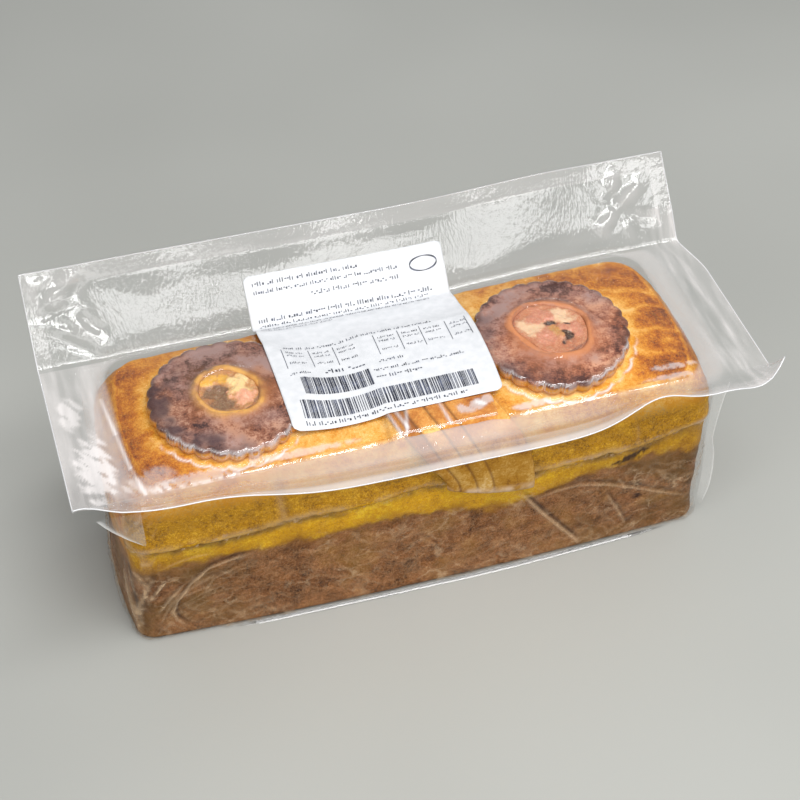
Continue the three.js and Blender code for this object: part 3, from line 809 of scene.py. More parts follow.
LEFT_DISC_SHADES = ((0.05, 66, 34, 28), (0.35, 130, 76, 54), (0.6, 162, 108, 82), (0.95, 206, 158, 130))
RIGHT_DISC_SHADES = ((0.05, 84, 44, 34), (0.35, 150, 90, 66), (0.6, 184, 124, 94), (0.95, 220, 168, 136))
build_disc("left", 20, disc_material("left", LEFT_DISC_SHADES, (226, 172, 92), (172, 108, 62), 0.85))
build_disc("right", 30, disc_material("right", RIGHT_DISC_SHADES, (206, 136, 92), (184, 116, 76), 0.5))

# %% [markdown]
# ## What stands in the holes
#
# Through the chimney holes the pate itself shows: set jelly, pale fat and pink meat. In the left one
# a pale lump stands in dark jelly, in the right one pink meat is packed round a small gap, painted
# dark as shade. Each is one heaped surface on a ring grid, with each lump a hill that also paints
# its own colour.

# %% The fillings as meshes
FILLING_LUMPS = {  # place as a share of the hole, reach, rise in mm and the mask that it paints
    "left": (
        ((0.40, 0.10), 0.46, 1.9, "pale"),
        ((0.58, 0.42), 0.30, 1.2, "pale"),
        ((0.45, -0.42), 0.34, 0.9, "pink"),
        ((0.02, 0.60), 0.30, 0.7, "yolk"),
        ((-0.52, 0.58), 0.26, 0.9, "yolk"),
        ((-0.62, -0.02), 0.34, -1.1, "jelly_and_gap_shade"),
        ((-0.28, -0.50), 0.42, -1.2, "jelly_and_gap_shade"),
        ((-0.30, 0.12), 0.26, -0.8, "jelly_and_gap_shade"),
        ((-0.12, 0.02), 0.08, 0.7, "pink"),
    ),
    "right": (
        ((-0.52, 0.20), 0.42, 0.8, "pale"),
        ((-0.20, 0.52), 0.36, 0.8, "pink"),
        ((0.42, 0.38), 0.38, 0.9, "pale"),
        ((0.52, -0.12), 0.34, 0.7, "pink"),
        ((-0.30, -0.42), 0.36, 0.9, "pink"),
        ((0.05, -0.30), 0.24, 0.5, "yolk"),
        # dips painted dark as shade in the gaps between the meat
        ((-0.06, 0.14), 0.16, -2.0, "jelly_and_gap_shade"),
        ((0.34, -0.48), 0.20, -0.5, "jelly_and_gap_shade"),
        ((0.46, 0.10), 0.12, -0.6, "jelly_and_gap_shade"),
    ),
}


FILLING_HEIGHT, FILLING_MOST = 4.7, 6.9  # above the lid


def build_filling(side, seed, material):
    hole = DISCS[side]["hole"]
    share = np.concatenate([[0.992, 1.0, 1.0, 0.99, 0.965], np.linspace(0.93, 0.02, 34)])[:, None]
    angle = np.linspace(0, 2 * math.pi, 120, endpoint=False)[None, :]
    u, v = share * np.cos(angle), share * np.sin(angle)
    top = FILLING_HEIGHT + 0 * u
    masks = {name: 0 * u for name in ("pale", "yolk", "pink", "jelly_and_gap_shade")}
    flat = np.stack([u, v, 0 * u], axis=-1)
    du, dv = (0.22 * rough(flat, 0.45, seed + k, 4) for k in (2, 3))
    for (mid_u, mid_v), reach, rise, mask in FILLING_LUMPS[side]:
        here = np.exp(-((np.hypot(u + du - mid_u, v + dv - mid_v) / reach) ** 2.2))
        top = top + rise * here
        masks[mask] = np.maximum(masks[mask], here)
    rows = np.arange(len(share))[:, None]
    radius = (hole - GAP) * share + hole_shift(side, angle) * smooth(0.2, 1.0, share) * (rows > 1)
    grid = disc_points(side, radius, angle + 0 * share, top)
    top = top + 0.35 * rough(grid, 2.6, seed) + 0.5 * rough(grid, 6, seed + 1)
    top = np.minimum(top + 0.5 * smooth(0.75, 0.98, share), FILLING_MOST)
    for row, height in enumerate((0.0, 1.2, 4.2)):  # the side in the hole
        top[row] = height
    grid = disc_points(side, radius, angle + 0 * share, top)
    tips = [disc_points(side, 0.0, 0.0, float(top[-1].mean())), disc_points(side, 0.0, 0.0, 0.0)]
    rings, count = grid.shape[:2]
    faces = grid_faces(rings, count, ring=True)
    faces += fan(rings * count, (rings - 1) * count, count, upward=True)
    faces += fan(rings * count + 1, 0, count, upward=False)
    masks = {name: np.concatenate([mask.ravel(), mask[[-1, 0], 0]]) for name, mask in masks.items()}
    return make_piece(f"filling_in_{side}_hole", np.concatenate([grid.reshape(-1, 3), tips]), faces, material,
                      masks, (f"filling_{side}",))


# %% The fillings' finish
def filling_material(side, ground, tones):
    material, tree, surface = new_material(f"filling {side}")
    dough = use_group(tree, baked_dough, Patch_scale=330.0, Grain_scale=1900.0)
    uneven = plus(tree, centred(tree, dough["Patches"], 1.0), centred(tree, dough["Grain"], 0.5))
    shade = mix_colours(tree, plus(tree, uneven, 0.4, clamp=True), colour(*ground), colour(188, 118, 84))
    for name, tone in tones.items():
        mask = plus(tree, mask_of(tree, name), times(tree, uneven, 0.8))
        shade = mix_colours(tree, rescale(tree, mask, 0.3, 0.62), shade, colour(*tone))
    shade = mix_colours(tree, times(tree, dough["Veins"], 0.3), shade, colour(250, 224, 186))
    end_material(tree, surface, shade, 0.28, (dough["Height"], 0.5, 0.0007),
                 Subsurface_Weight=0.12, Subsurface_Scale=0.002)
    return material


LEFT_TONES = {"yolk": (226, 168, 70), "jelly_and_gap_shade": (146, 108, 76), "pale": (240, 204, 144),
              "pink": (222, 160, 128)}
RIGHT_TONES = {"yolk": (190, 138, 78), "pale": (224, 186, 150), "pink": (200, 132, 106),
               # in the right filling this dark tone is painted shade in the gaps
               "jelly_and_gap_shade": (70, 42, 34)}
build_filling("left", 41, filling_material("left", (190, 140, 84), LEFT_TONES))
build_filling("right", 45, filling_material("right", (192, 126, 94), RIGHT_TONES))

# %% [markdown]
# ## The pastry band
#
# A strip of thin pastry leaves was laid over the lid and pressed down the front wall, which held the
# lid shut in the oven. It is a sheet that follows a path over the lid's edge, thick in the middle of
# each leaf and thin at the scored lines between them. Its thickness is worked out across the path.

# %% The band's path and sheet
BAND_HALF_WIDTH, BAND_THICKNESS = 25, 2.4
BAND_BACK_Y = 20
BAND_X_ON_LID, BAND_X_AT_END = 7, 28
BAND_END_Z, BAND_END_SKEW = 59, 11
BAND_LEAF_EDGES = (-0.98, -0.72, -0.33, 0.05, 1.0)  # the leaves' edges, as shares of the half width


def band_path():
    """Rows of Y, Z, the outward way in Y and Z, and the band's middle X."""
    seam_y = -half_width_at(SEAM_Z)
    off_wall = SIDE_BOW + 0.2
    on_lid = [(y, lid_height(BAND_X_ON_LID, y)) for y in np.linspace(BAND_BACK_Y, seam_y + 2.5, 40)]
    bend = [(seam_y + 1.2, SEAM_Z + 0.4), (seam_y + 0.1, SEAM_Z - 0.6)]
    down = [(-half_width_at(z) - off_wall, z) for z in np.linspace(SEAM_Z - 2.3, 74, 22)]
    end = [(-HALF_WIDTH - off_wall, z) for z in np.linspace(73, BAND_END_Z, 14)]
    path = np.array([(float(y), float(z)) for y, z in on_lid + bend + down + end])
    for _ in range(2):
        path[1:-1] = (path[:-2] + 2 * path[1:-1] + path[2:]) / 4
    along = np.gradient(path, axis=0)
    along /= np.linalg.norm(along, axis=1, keepdims=True)
    fall = path[:, 1] - SEAM_Z + np.minimum(0, path[:, 0])
    down_share = 1 - smooth(BAND_END_Z - SEAM_Z - HALF_WIDTH, -BAND_BACK_Y, fall)
    middle = BAND_X_ON_LID + (BAND_X_AT_END - BAND_X_ON_LID) * down_share
    return path[:, 0], path[:, 1], along[:, 1], -along[:, 0], middle


def band_places(across):
    """Where the band's underside lies, and its outward normal, for places across it from -1 to 1."""
    y, z, out_y, out_z, middle = (row[:, None] for row in band_path())
    narrow = 1 - 0.12 * (1 - smooth(BAND_END_Z, SEAM_Z, z))
    x = middle + across * BAND_HALF_WIDTH * narrow
    skew = BAND_END_SKEW * ((1 - across) / 2) ** 2 * clamp01((85 - z) / (85 - BAND_END_Z))
    lie = np.where(z > SEAM_Z - 1, lid_height(x, y) - lid_height(BAND_X_ON_LID, y), 0)
    place = np.stack(np.broadcast_arrays(x, y + out_y * GAP, z + skew + lie + out_z * GAP), axis=2)
    outward = np.stack(np.broadcast_arrays(0 * x, out_y, out_z), axis=2)
    return place, outward


def build_band(material):
    across = np.linspace(-1, 1, 91)[None, :]
    place, outward = band_places(across)
    plump = 0 * across
    for left, right in zip(BAND_LEAF_EDGES[:-1], BAND_LEAF_EDGES[1:]):
        t = clamp01((across - left) / (right - left))
        leaf = np.where((across >= left) & (across <= right), np.sin(math.pi * t) ** 0.45, 0)
        plump = np.maximum(plump, leaf)
    score = np.maximum.reduce([bell(across - edge, 0.028) for edge in BAND_LEAF_EDGES[1:-1]])
    thick = BAND_THICKNESS * (0.66 + 0.34 * plump)
    thick = thick + 0.3 * rough(place, 9, 51) + 0.08 * rough(place, 2.5, 52)
    rows, count = place.shape[:2]
    row = np.arange(rows)[:, None]
    to_end, to_side = np.minimum(row, row[::-1]), 1 - np.abs(across)
    edge_fade = np.minimum(1, (to_end + 0.35) / 3) ** 0.5 * np.minimum(1, (to_side + 0.004) / 0.05) ** 0.5
    top = place + outward * (thick * edge_fade)[..., None]
    hanging = 1 - smooth(86, 100, place[..., 2])
    dark_strip = smooth(-0.66, -0.74, across) * smooth(-0.97, -0.92, across) * (1 - 0.85 * hanging)
    lip = smooth(rows - 8, rows - 4, row) * mottled(place, 0.7, 1.0, 6, 53)
    masks = {"score": np.tile(score, (rows, 1)), "strip": dark_strip, "hanging": hanging, "lip": lip}
    masks = {name: np.stack([mask, mask]) for name, mask in masks.items()}
    faces = [face[::-1] for face in sheet_faces(rows, count)]
    return make_piece("pastry_leaf_band", np.stack([top, place]), faces, material, masks,
                      ("pastry_band",))


LEAF_SHADES = ((0.05, 166, 94, 36), (0.4, 200, 130, 54), (0.7, 222, 160, 78), (0.95, 238, 192, 120))
HANGING_SHADES = ((0.05, 120, 80, 16), (0.4, 162, 118, 30), (0.75, 188, 148, 74), (0.95, 210, 178, 122))


def band_material():
    material, tree, surface = new_material("leaf pastry")
    dough = use_group(tree, baked_dough, Patch_scale=80.0, Grain_scale=900.0)
    uneven = plus(tree, centred(tree, dough["Patches"], 2.0), centred(tree, dough["Grain"], 1.0))
    place = plus(tree, uneven, 0.5)
    below = colour_scale(tree, place, HANGING_SHADES)
    share = times(tree, mask_of(tree, "hanging"), 0.8)
    shade = mix_colours(tree, share, colour_scale(tree, place, LEAF_SHADES), below)
    shade = painted(tree, shade, "strip", 0.6, (140, 76, 34))
    shade = painted(tree, shade, "score", 0.7, (108, 68, 28))
    shade = painted(tree, shade, "lip", 0.85, (222, 192, 160))
    end_material(tree, surface, shade, 0.55, (dough["Height"], 0.5, 0.0006), Specular_IOR_Level=0.15)
    return material


build_band(band_material())

# %% [markdown]
# ## The clear film
#
# Two webs of clear film are welded round the loaf. The upper one lies over the lid and the discs and
# makes the flange, and the lower one has shrunk on to the walls. Real film has hardly any colour:
# what one sees is its gloss, a little haze where it is doubled or welded, and the bright line of its
# cut edge. So its material is mostly see-through, with a mirror-like share that grows at flat angles.

# %% The film's finish
FILM_IOR = 1.45  # how strongly plastic film bends light, which sets its gloss


def film_material(name, haze_tone, least_haze, most_haze, gloss, crinkle=0.5, scale=420.0, most_shine=0.6,
                  creased=0.0):
    """Clear film. The piece's mask "haze" sets how milky it is, from least_haze to most_haze, and its
    mask "dull" where it doesn't shine. creased is the strength of crease lines where "creased" is 1."""
    material, tree, surface = new_material(name)
    film = use_group(tree, crinkled_film, Crinkle_scale=scale, Streak_scale=70.0)
    normal = add_node(tree, "ShaderNodeBump", {
        "Strength": crinkle, "Distance": 0.0005, "Height": film["Height"]}).outputs["Normal"]
    milky = add_node(tree, "ShaderNodeBsdfPrincipled", {
        "Base Color": colour(*haze_tone), "Roughness": 0.45, "Normal": normal, "Specular IOR Level": 0.2})
    mirror = add_node(tree, "ShaderNodeBsdfPrincipled", {
        "Base Color": (1, 1, 1, 1), "Metallic": 1.0, "Roughness": 0.07, "Normal": normal})
    clear = add_node(tree, "ShaderNodeBsdfTransparent", {"Color": (0.985, 0.985, 0.985, 1)})
    haze = add_node(tree, "ShaderNodeMapRange", {
        "Value": mask_of(tree, "haze"), "To Min": least_haze, "To Max": most_haze}).outputs[0]
    if creased:
        lines = times(tree, film["Creases"], mask_of(tree, "creased"))
        haze = plus(tree, haze, times(tree, lines, creased), clamp=True)
    body = add_node(tree, "ShaderNodeMixShader", {0: haze, 1: clear.outputs[0], 2: milky.outputs[0]})
    fresnel = add_node(tree, "ShaderNodeFresnel", {"IOR": FILM_IOR, "Normal": normal}).outputs[0]
    shine = math_node(tree, "MINIMUM", times(tree, fresnel, gloss), most_shine)
    shine = times(tree, shine, math_node(tree, "SUBTRACT", 1.0, mask_of(tree, "dull")))
    whole = add_node(tree, "ShaderNodeMixShader", {0: shine, 1: body.outputs[0], 2: mirror.outputs[0]})
    tree.links.new(whole.outputs[0], surface)
    return material


clear_film = film_material("clear film", (248, 242, 240), 0.0, 0.85, gloss=1.8, scale=850.0)
shrunk_film = film_material(
    "shrunk film", (228, 194, 154), 0.0, 0.62, gloss=0.35, crinkle=0.6, scale=700.0, most_shine=0.12,
    creased=0.33)
print("films:", clear_film.name, "and", shrunk_film.name)

# %% The flange's sizes and the film's middle surface
FILM = 0.8  # both webs together, as thick as in the construction model
FLANGE_LEFT, FLANGE_RIGHT, RIGHT_INSET_AT_BACK = 166.5, 168.5, 5.5
FRONT_WIDTH, BACK_WIDTH = 20, 48.5
BACK_ANGLE = math.pi / 4
CREASE_Y, CREASE_RADIUS = 45.5, 5
FRONT_DROOP = 2
FRONT_HUMPS = ((-164, 13, 34), (-104, 9.3, 38), (106, 12.5, 25), (144, 7.5, 18), (174, 19, 14))
CORNER_TRIM, CORNER_TRIM_LENGTH = 4, 22
BACK_RIPPLE, BACK_RIPPLE_LENGTH = 1.2, 74
FRONT_EDGE, BACK_EDGE = -(CREASE_Y + FRONT_WIDTH), CREASE_Y + BACK_WIDTH  # across the film laid flat


def film_point(x, s):
    """The flange's middle surface. s is measured across the film laid flat, in line with Y."""
    x, s = np.broadcast_arrays(np.asarray(x, float), np.asarray(s, float))
    level = SEAM_Z - 1 + FILM / 2
    swell = back_swell(x)
    bend = CREASE_RADIUS * BACK_ANGLE
    beyond = np.maximum(0, s - CREASE_Y)
    angle = np.minimum(beyond, bend) / CREASE_RADIUS
    straight = np.maximum(0, beyond - bend)
    ripple = BACK_RIPPLE * np.sin(2 * math.pi * x / BACK_RIPPLE_LENGTH) * clamp01(straight / BACK_WIDTH)
    back_y = CREASE_Y + swell + CREASE_RADIUS * np.sin(angle) + straight * math.cos(BACK_ANGLE) - ripple
    back_z = level + CREASE_RADIUS * (1 - np.cos(angle)) + straight * math.sin(BACK_ANGLE) + ripple
    front = np.maximum(0, -CREASE_Y - s) / FRONT_WIDTH
    width = FRONT_WIDTH - CORNER_TRIM * (1 - smooth(-FLANGE_LEFT, CORNER_TRIM_LENGTH - FLANGE_LEFT, x))
    lift = hills(x, FRONT_HUMPS) - FRONT_DROOP
    reach = np.sqrt(np.maximum(width**2 - lift**2, (0.55 * width) ** 2))
    y = np.where(s > CREASE_Y, back_y, s + swell * clamp01(s / CREASE_Y))
    y = np.where(s < -CREASE_Y, -CREASE_Y - front * reach, y)
    z = np.where(s > CREASE_Y, back_z, level)
    z = np.where(s < -CREASE_Y, level + lift * front**1.3, z)
    return np.stack([x, y, z], axis=-1)


def flange_right(s):
    return FLANGE_RIGHT - RIGHT_INSET_AT_BACK * smooth(22, CREASE_Y + 6, s)


def ramp(a, b, x):
    """What smooth(a, b, x) adds up to along x."""
    t = clamp01((x - a) / (b - a))
    return (b - a) * (t**3 - t**4 / 2) + np.maximum(0, x - b)


FLAT_ZONE = np.array((  # where the standing part keeps its angle: X, then from and to across the film
    (-168, 60, 76), (-140, 50, 85), (-126, 54, 79), (-108, 58, 71), (-87, 59, 74), (-65, 58, 75),
    (35, 56, 80), (57, 56, 83), (84, 59, 87), (100, 61, 89), (125, 61, 90), (165, 61, 90)))


def back_bulge(x, s):
    """The standing part leans a little to the front, but less halfway up."""
    low, high = np.interp(x, *FLAT_ZONE.T[:2]), np.interp(x, *FLAT_ZONE.T[::2])
    lean = ramp(44, 47, s) - ramp(low - 3, low + 3, s) + ramp(high - 2, high + 4, s)
    return 0.11 * lean * smooth(44, 46, s)


print("the flange reaches", round(float(film_point(0, BACK_EDGE)[2]), 1), "mm up at the back")

# %% [markdown]
# ## The upper web
#
# Over the lid the film can't follow every dent: the vacuum pulls it down, but it spans small hollows.
# That is the shape that a ball leaves when it rolls over what lies there, so the height of lid, discs,
# leaves and fillings is taken on a grid and a ball of a few millimetres is rolled over it in numbers.

# %% What lies under the upper web
def inside_seam(x, y):
    """Distance inside the seam's rounded outline, negative outside it."""
    half_x = half_length_at(SEAM_Z)
    half_y = half_width_at(SEAM_Z) + np.where(y > 0, back_swell(x) * 0.9, 0)
    qx, qy = np.abs(x) - half_x + CORNER_RADIUS, np.abs(y) - half_y + CORNER_RADIUS
    outside = np.hypot(np.maximum(qx, 0), np.maximum(qy, 0)) + np.minimum(np.maximum(qx, qy), 0)
    return CORNER_RADIUS - outside


def disc_top(x, y, side):
    """Height of a disc and its filling above the lid, or 0 beside it."""
    (cx, cy), hole = DISCS[side]["middle"], DISCS[side]["hole"]
    radius, angle = np.hypot(x - cx, y - cy), np.arctan2(y - cy, x - cx)
    outline = radius + flute_inset(angle) * smooth(DISC_RADIUS - 7, DISC_RADIUS - 2.5, radius)
    profile = disc_profile(hole)
    crest = int(np.argmax(profile[:, 1]))
    edge = profile[crest:]
    edge = edge[: int(np.argmax(edge[:, 0])) + 1]
    height = np.interp(outline, edge[:, 0], edge[:, 1], left=4.2, right=0.0)
    height = np.where(radius < hole + 0.5, 4.3, height)
    return np.where(outline > DISC_RADIUS, 0, height + GAP)


def band_top(x, y):
    """Height of the band on the lid, or 0 beside it."""
    across = np.abs(x - BAND_X_ON_LID) / BAND_HALF_WIDTH
    return (BAND_THICKNESS + GAP) * (across < 1) * (y < BAND_BACK_Y)


def lid_cover(x, y):
    return np.maximum.reduce([disc_top(x, y, "left"), disc_top(x, y, "right"), band_top(x, y)])


def band_bend(x, s):
    """How far the band lifts the flange where it bends down over the lid's edge."""
    across = np.abs(x - BAND_X_ON_LID - 1.0) / BAND_HALF_WIDTH
    return 2.2 * (1 - smooth(0.75, 1.5, across)) * smooth(-58, -46.5, s) * (s < -CREASE_Y)


def roll_ball(height, radius, step):
    """The lowest surface that a ball of that radius leaves when it rolls over the heights."""
    reach = int(radius // step)
    offsets = [(i, j) for i in range(-reach, reach + 1) for j in range(-reach, reach + 1)
               if math.hypot(i, j) * step <= radius]

    def shifted(field, i, j):
        padded = np.pad(field, reach, mode="edge")
        rows, columns = field.shape
        return padded[reach + i : reach + i + rows, reach + j : reach + j + columns]

    caps = [math.sqrt(radius**2 - (i * i + j * j) * step**2) for i, j in offsets]
    raised = np.max([shifted(height, i, j) + cap for (i, j), cap in zip(offsets, caps)], axis=0)
    return np.min([shifted(raised, i, j) - cap for (i, j), cap in zip(offsets, caps)], axis=0)


print("the left disc's top is", round(float(disc_top(-110.0, 0.0, "left")), 1), "mm above the lid")

# %% The upper web as a mesh
WEB_STEP = 0.85
WEB_OVER = 0.35  # the film lies this much above what it covers
WEB_DOWN = 0.3  # and the flange's upper web starts this much below its middle surface
WEB_BALL = 4.2
SEAL_LEFT, SEAL_RIGHT, SEAL_BACK, SEAL_FRONT = 6.5, 8.0, 8.5, 7.0  # widths of the welded strips
GUSSET_FOLDS = (  # folds of the back flange: two ends in X and s, width and height
    (((-134, 93), (-149, 83)), 7, 1.6), (((-149, 83), (-158, 77)), 6, 1.8),
    (((-138, 87), (-145, 78)), 5, -1.4), (((-145, 78), (-156, 73)), 5, 1.3),
    (((-147, 73), (-141, 62)), 5, 1.7), (((-141, 62), (-131, 47)), 5, 1.4),
    (((-158, 73), (-147, 74)), 4, -1.2), (((-146, 72), (-133, 60)), 4, -1.3),
    (((-163, 92), (-162, 78)), 5, 1.2), (((-156, 68), (-140, 55)), 4, 1.0),
    (((-152, 60), (-138, 50)), 4, -1.0), (((-160, 86), (-152, 90)), 4, 1.0),
    (((137, 87), (132, 77)), 5, 1.7), (((132, 77), (133, 69)), 5, -1.5), (((133, 69), (124, 60)), 5, 1.7),
    (((130, 70), (147, 75)), 5, 1.5), (((154, 60), (139, 66)), 5, -1.1), (((138, 73), (150, 80)), 5, 1.4),
    (((128, 55), (121, 64)), 4, 1.1), (((140, 52), (136, 62)), 4, 1.0),
)
CRUMPLES = (((-150, 72), (16, 24)), ((136, 70), (15, 20)))  # middle and reach in X and s
PAINTED_GLARE_PATCHES = (  # painted glare, milky patches where the lamps' reflections lie on the film: middle in X and s, reach and share
    ((-131, -39), (11, 7), 0.3),
    ((-108, -43), (22, 3.2), 0.38),
    ((-152, -24), (8, 20), 0.5),
    ((-157, 14), (5, 10), 0.4),
    ((-62, -41), (24, 1.8), 0.45),
    ((20, -38), (7, 2.6), 0.5),
    ((28, -36), (5, 2.2), 0.5),
    ((52, -41.5), (11, 1.8), 0.55),
    ((122, -36), (13, 1.6), 0.42),
    ((120, -42), (13, 1.6), 0.4),
)
RIDGE_GLINT_LINES = (  # painted highlights, thin white lines where ridges of film over the band's leaves and at the lid's left end catch the light, as X and s
    ((-19, -29), (-15, -44)), ((-16, -27), (-11, -42)), ((-8, -29), (-12, -44)), ((6, -28), (9, -44)),
    ((-141.6, 20), (-139.3, -4)), ((-139.3, -4), (-137, -28)), ((-137, -28), (-133.7, -45)),
)


def from_disc_edge(side, x, y):
    """Distance out from a disc's fluted edge, and the angle round its middle."""
    cx, cy = DISCS[side]["middle"]
    angle = np.arctan2(y - cy, x - cx)
    return np.hypot(x - cx, y - cy) + 0.8 * flute_inset(angle) - DISC_RADIUS, angle


def rim_glare_lines(x, y):
    """Painted glare: thin wavy lines before each disc, where the film bends over its rim and meets the lid
    again.
    """
    lines = 0 * x
    for side, (least, most) in {"left": (-2.9, -0.35), "right": (-2.75, -0.2)}.items():
        out, angle = from_disc_edge(side, x, y)
        arc = smooth(least, least + 0.4, angle) * (1 - smooth(most - 0.4, most, angle))
        for reach, share in ((-0.9, 0.55), (3.4, 0.85)):
            lines = np.maximum(lines, share * arc * bell(out - reach, 0.6))
    return lines


def tight_on_rims(x, y):
    """1 where the film clings to a disc's side and hardly shines."""
    return np.maximum(*(bell(from_disc_edge(side, x, y)[0] - 1.0, 2.4) for side in DISCS))


def fold_relief(x, s, folds):
    """Tent-like folds: a sharp crest that falls to nothing at the fold's width."""
    lift = 0 * x
    for ends, width, height in folds:
        away, along = near_line(x, s, ends)
        ends_fade = np.minimum(1, 0.35 + 3 * along * (1 - along))
        lift = lift + height * np.maximum(0, 1 - away / width) * ends_fade
    return lift


def web_grid():
    across = np.arange(FRONT_EDGE, BACK_EDGE + 0.01, WEB_STEP)
    share = np.linspace(0, 1, int((FLANGE_LEFT + FLANGE_RIGHT) / WEB_STEP) + 1)
    s = across[:, None] + 0 * share[None, :]
    x = -FLANGE_LEFT + (flange_right(s) + FLANGE_LEFT) * share[None, :]
    return x, s


def web_surface():
    """Points of the upper web, with X, s and the distance inside the seam for each."""
    x, s = web_grid()
    place = film_point(x, s)
    px, py, flange = place[..., 0], place[..., 1], place[..., 2] - WEB_DOWN
    within = inside_seam(px, py)
    over_lid = np.abs(s) <= CREASE_Y + 0.01
    content = np.where((within > 0) & over_lid, lid_height(px, py) + lid_cover(px, py), flange)
    rolled = roll_ball(content, WEB_BALL, WEB_STEP)
    height = np.where(over_lid, np.maximum(rolled, flange), flange + band_bend(px, s))
    place[..., 2] = height + WEB_OVER
    return place, x, s, within


def build_upper_web(material):
    place, x, s, within = web_surface()
    normal = grid_normals(place)
    flange = 1 - smooth(-4, 2, within)
    on_front, on_back = s < -CREASE_Y, smooth(CREASE_Y + 2, CREASE_Y + 8, s)
    from_edge = s - FRONT_EDGE
    borders = ((x + FLANGE_LEFT, SEAL_LEFT), (flange_right(s) - x, SEAL_RIGHT),
               (BACK_EDGE - s, SEAL_BACK), (from_edge, SEAL_FRONT))
    seams = np.maximum.reduce([bell(away - width, 0.9) for away, width in borders])
    welded = np.maximum.reduce([1 - smooth(width - 0.5, width + 0.5, away) for away, width in borders])

    # relief: the back flange's folds and crumples, ripples, and crinkles by the seam and on the lid
    folds = fold_relief(x, s, GUSSET_FOLDS) * on_back
    flat = np.stack([x, s, 0 * x], axis=-1)
    crumple = rough(flat, 7, 61, 2) * sum(spot(x, s, *place) for place in CRUMPLES)
    ripples = 0.045 * rough(flat, (4.5, 14, 9), 62, 1) + 0.09 * rough(flat, (17, 17, 9), 63, 1)
    lift = folds + back_bulge(x, s) + 0.8 * crumple * on_back + ripples - 0.14 * seams
    lift = lift + 0.22 * bell(within, 3.0) * (s < -30) * rough(flat, (5, 2.5, 9), 69, 2)
    lift = lift + 0.05 * rough(place, 9, 64, 1) * (1 - flange)
    place = place + normal * lift[..., None]

    # haze: where the film is welded, folded or stands off the lid, and painted glare where it mirrors the
    # lamps
    beside = smooth(136, 144, np.abs(x))
    streaks = 0.5 + (1 - beside) * rough(flat, (30, 6, 9), 65) + 0.8 * beside * rough(flat, (4, 26, 9), 68)
    streaks = clamp01(streaks)
    haze = flange * (0.03 + 0.06 * streaks) + 0.10 * welded + 0.08 * seams
    haze = haze + 0.14 * welded * on_front * smooth(20, 60, x)
    haze = haze + 0.26 * smooth(-136, -150, x) * (s < CREASE_Y) * (0.6 + 0.8 * streaks)
    haze = haze + 0.34 * smooth(144, 152, x) * (s < CREASE_Y + 20) * streaks**2
    haze = haze + 0.24 * smooth(1, -1, within) * smooth(-15, -9, within) * (s < CREASE_Y)
    slanted = np.stack([0.82 * x + 0.57 * s, 0.82 * s - 0.57 * x, 0 * x], axis=-1)
    torn = rough(slanted, (2.4, 7, 5), 66, 4)
    for middle, reach, share in PAINTED_GLARE_PATCHES:
        haze = haze + share * smooth(0.2, 0.6, spot(x, s, middle, reach) * (1 + 1.1 * torn))
    for ends in RIDGE_GLINT_LINES:
        away, along = near_line(x, s, ends)
        haze = haze + 0.75 * bell(away, 0.75) * (0.4 + 0.6 * along)
    haze = haze + rim_glare_lines(place[..., 0], place[..., 1]) * mottled(flat, 0.75, 1.3, 7, 67)
    haze = haze + 0.10 * on_front * smooth(60, 20, x) + 0.08 * np.abs(folds)
    border = 1 - smooth(2.0, 4.6, from_edge + 0.9 * rough(flat, (40, 9, 9), 58, 1))
    haze = haze + 0.34 * border * smooth(-150, -110, x)
    masks = {"haze": clamp01(haze), "dull": 0.9 * tight_on_rims(place[..., 0], place[..., 1])}
    return make_piece("upper_web", place, grid_faces(*x.shape), material, masks)


upper_web = build_upper_web(clear_film)

# %% [markdown]
# ## The lower web
#
# Heat and vacuum have shrunk the lower web on to the walls. It spans the groove under the lid, gathers
# in wrinkles on the brown wall and folds at the corners. Near the top it turns outward and meets the
# flange. It is the loaf's own hoops again, a little further out, with ridged noise for the wrinkles.

# %% The lower web as a mesh
def ridges(points, size, seed, sharpness=9):
    """Sharp branching crests from 0 to 1, as wrinkled film has."""
    return (1 - np.abs(rough(points, size, seed, 2))) ** sharpness


def front_folds(x, y, z):
    """Height of the doubled folds over each place of the front wall."""
    front = y < FRONT_WALL_Y
    height = 0 * x
    for places, half_width, rise in FRONT_FOLDS:
        height[front] += rise * near_path(x[front], z[front], places, half_width)
    return height


def web_collar(base, outward):
    """Rows of places that turn outward from the wall's last row and meet the flange from below."""
    out = outward / np.maximum(np.linalg.norm(outward, axis=1, keepdims=True), 1e-6)
    collar = []
    for distance, drop in ((0.5, 4.6), (1.6, 2.9), (3.2, 1.6), (5.2, 0.8), (7.4, 0.35)):
        ring = base + out * distance
        s = np.where(ring[:, 1] > 0, ring[:, 1] - back_swell(ring[:, 0]), ring[:, 1])
        under = film_point(ring[:, 0], np.clip(s, FRONT_EDGE, CREASE_Y))
        ring[:, 2] = np.maximum(base[:, 2] + 0.5, under[:, 2] - FILM / 2 - drop)
        collar.append(ring)
    return np.array(collar)


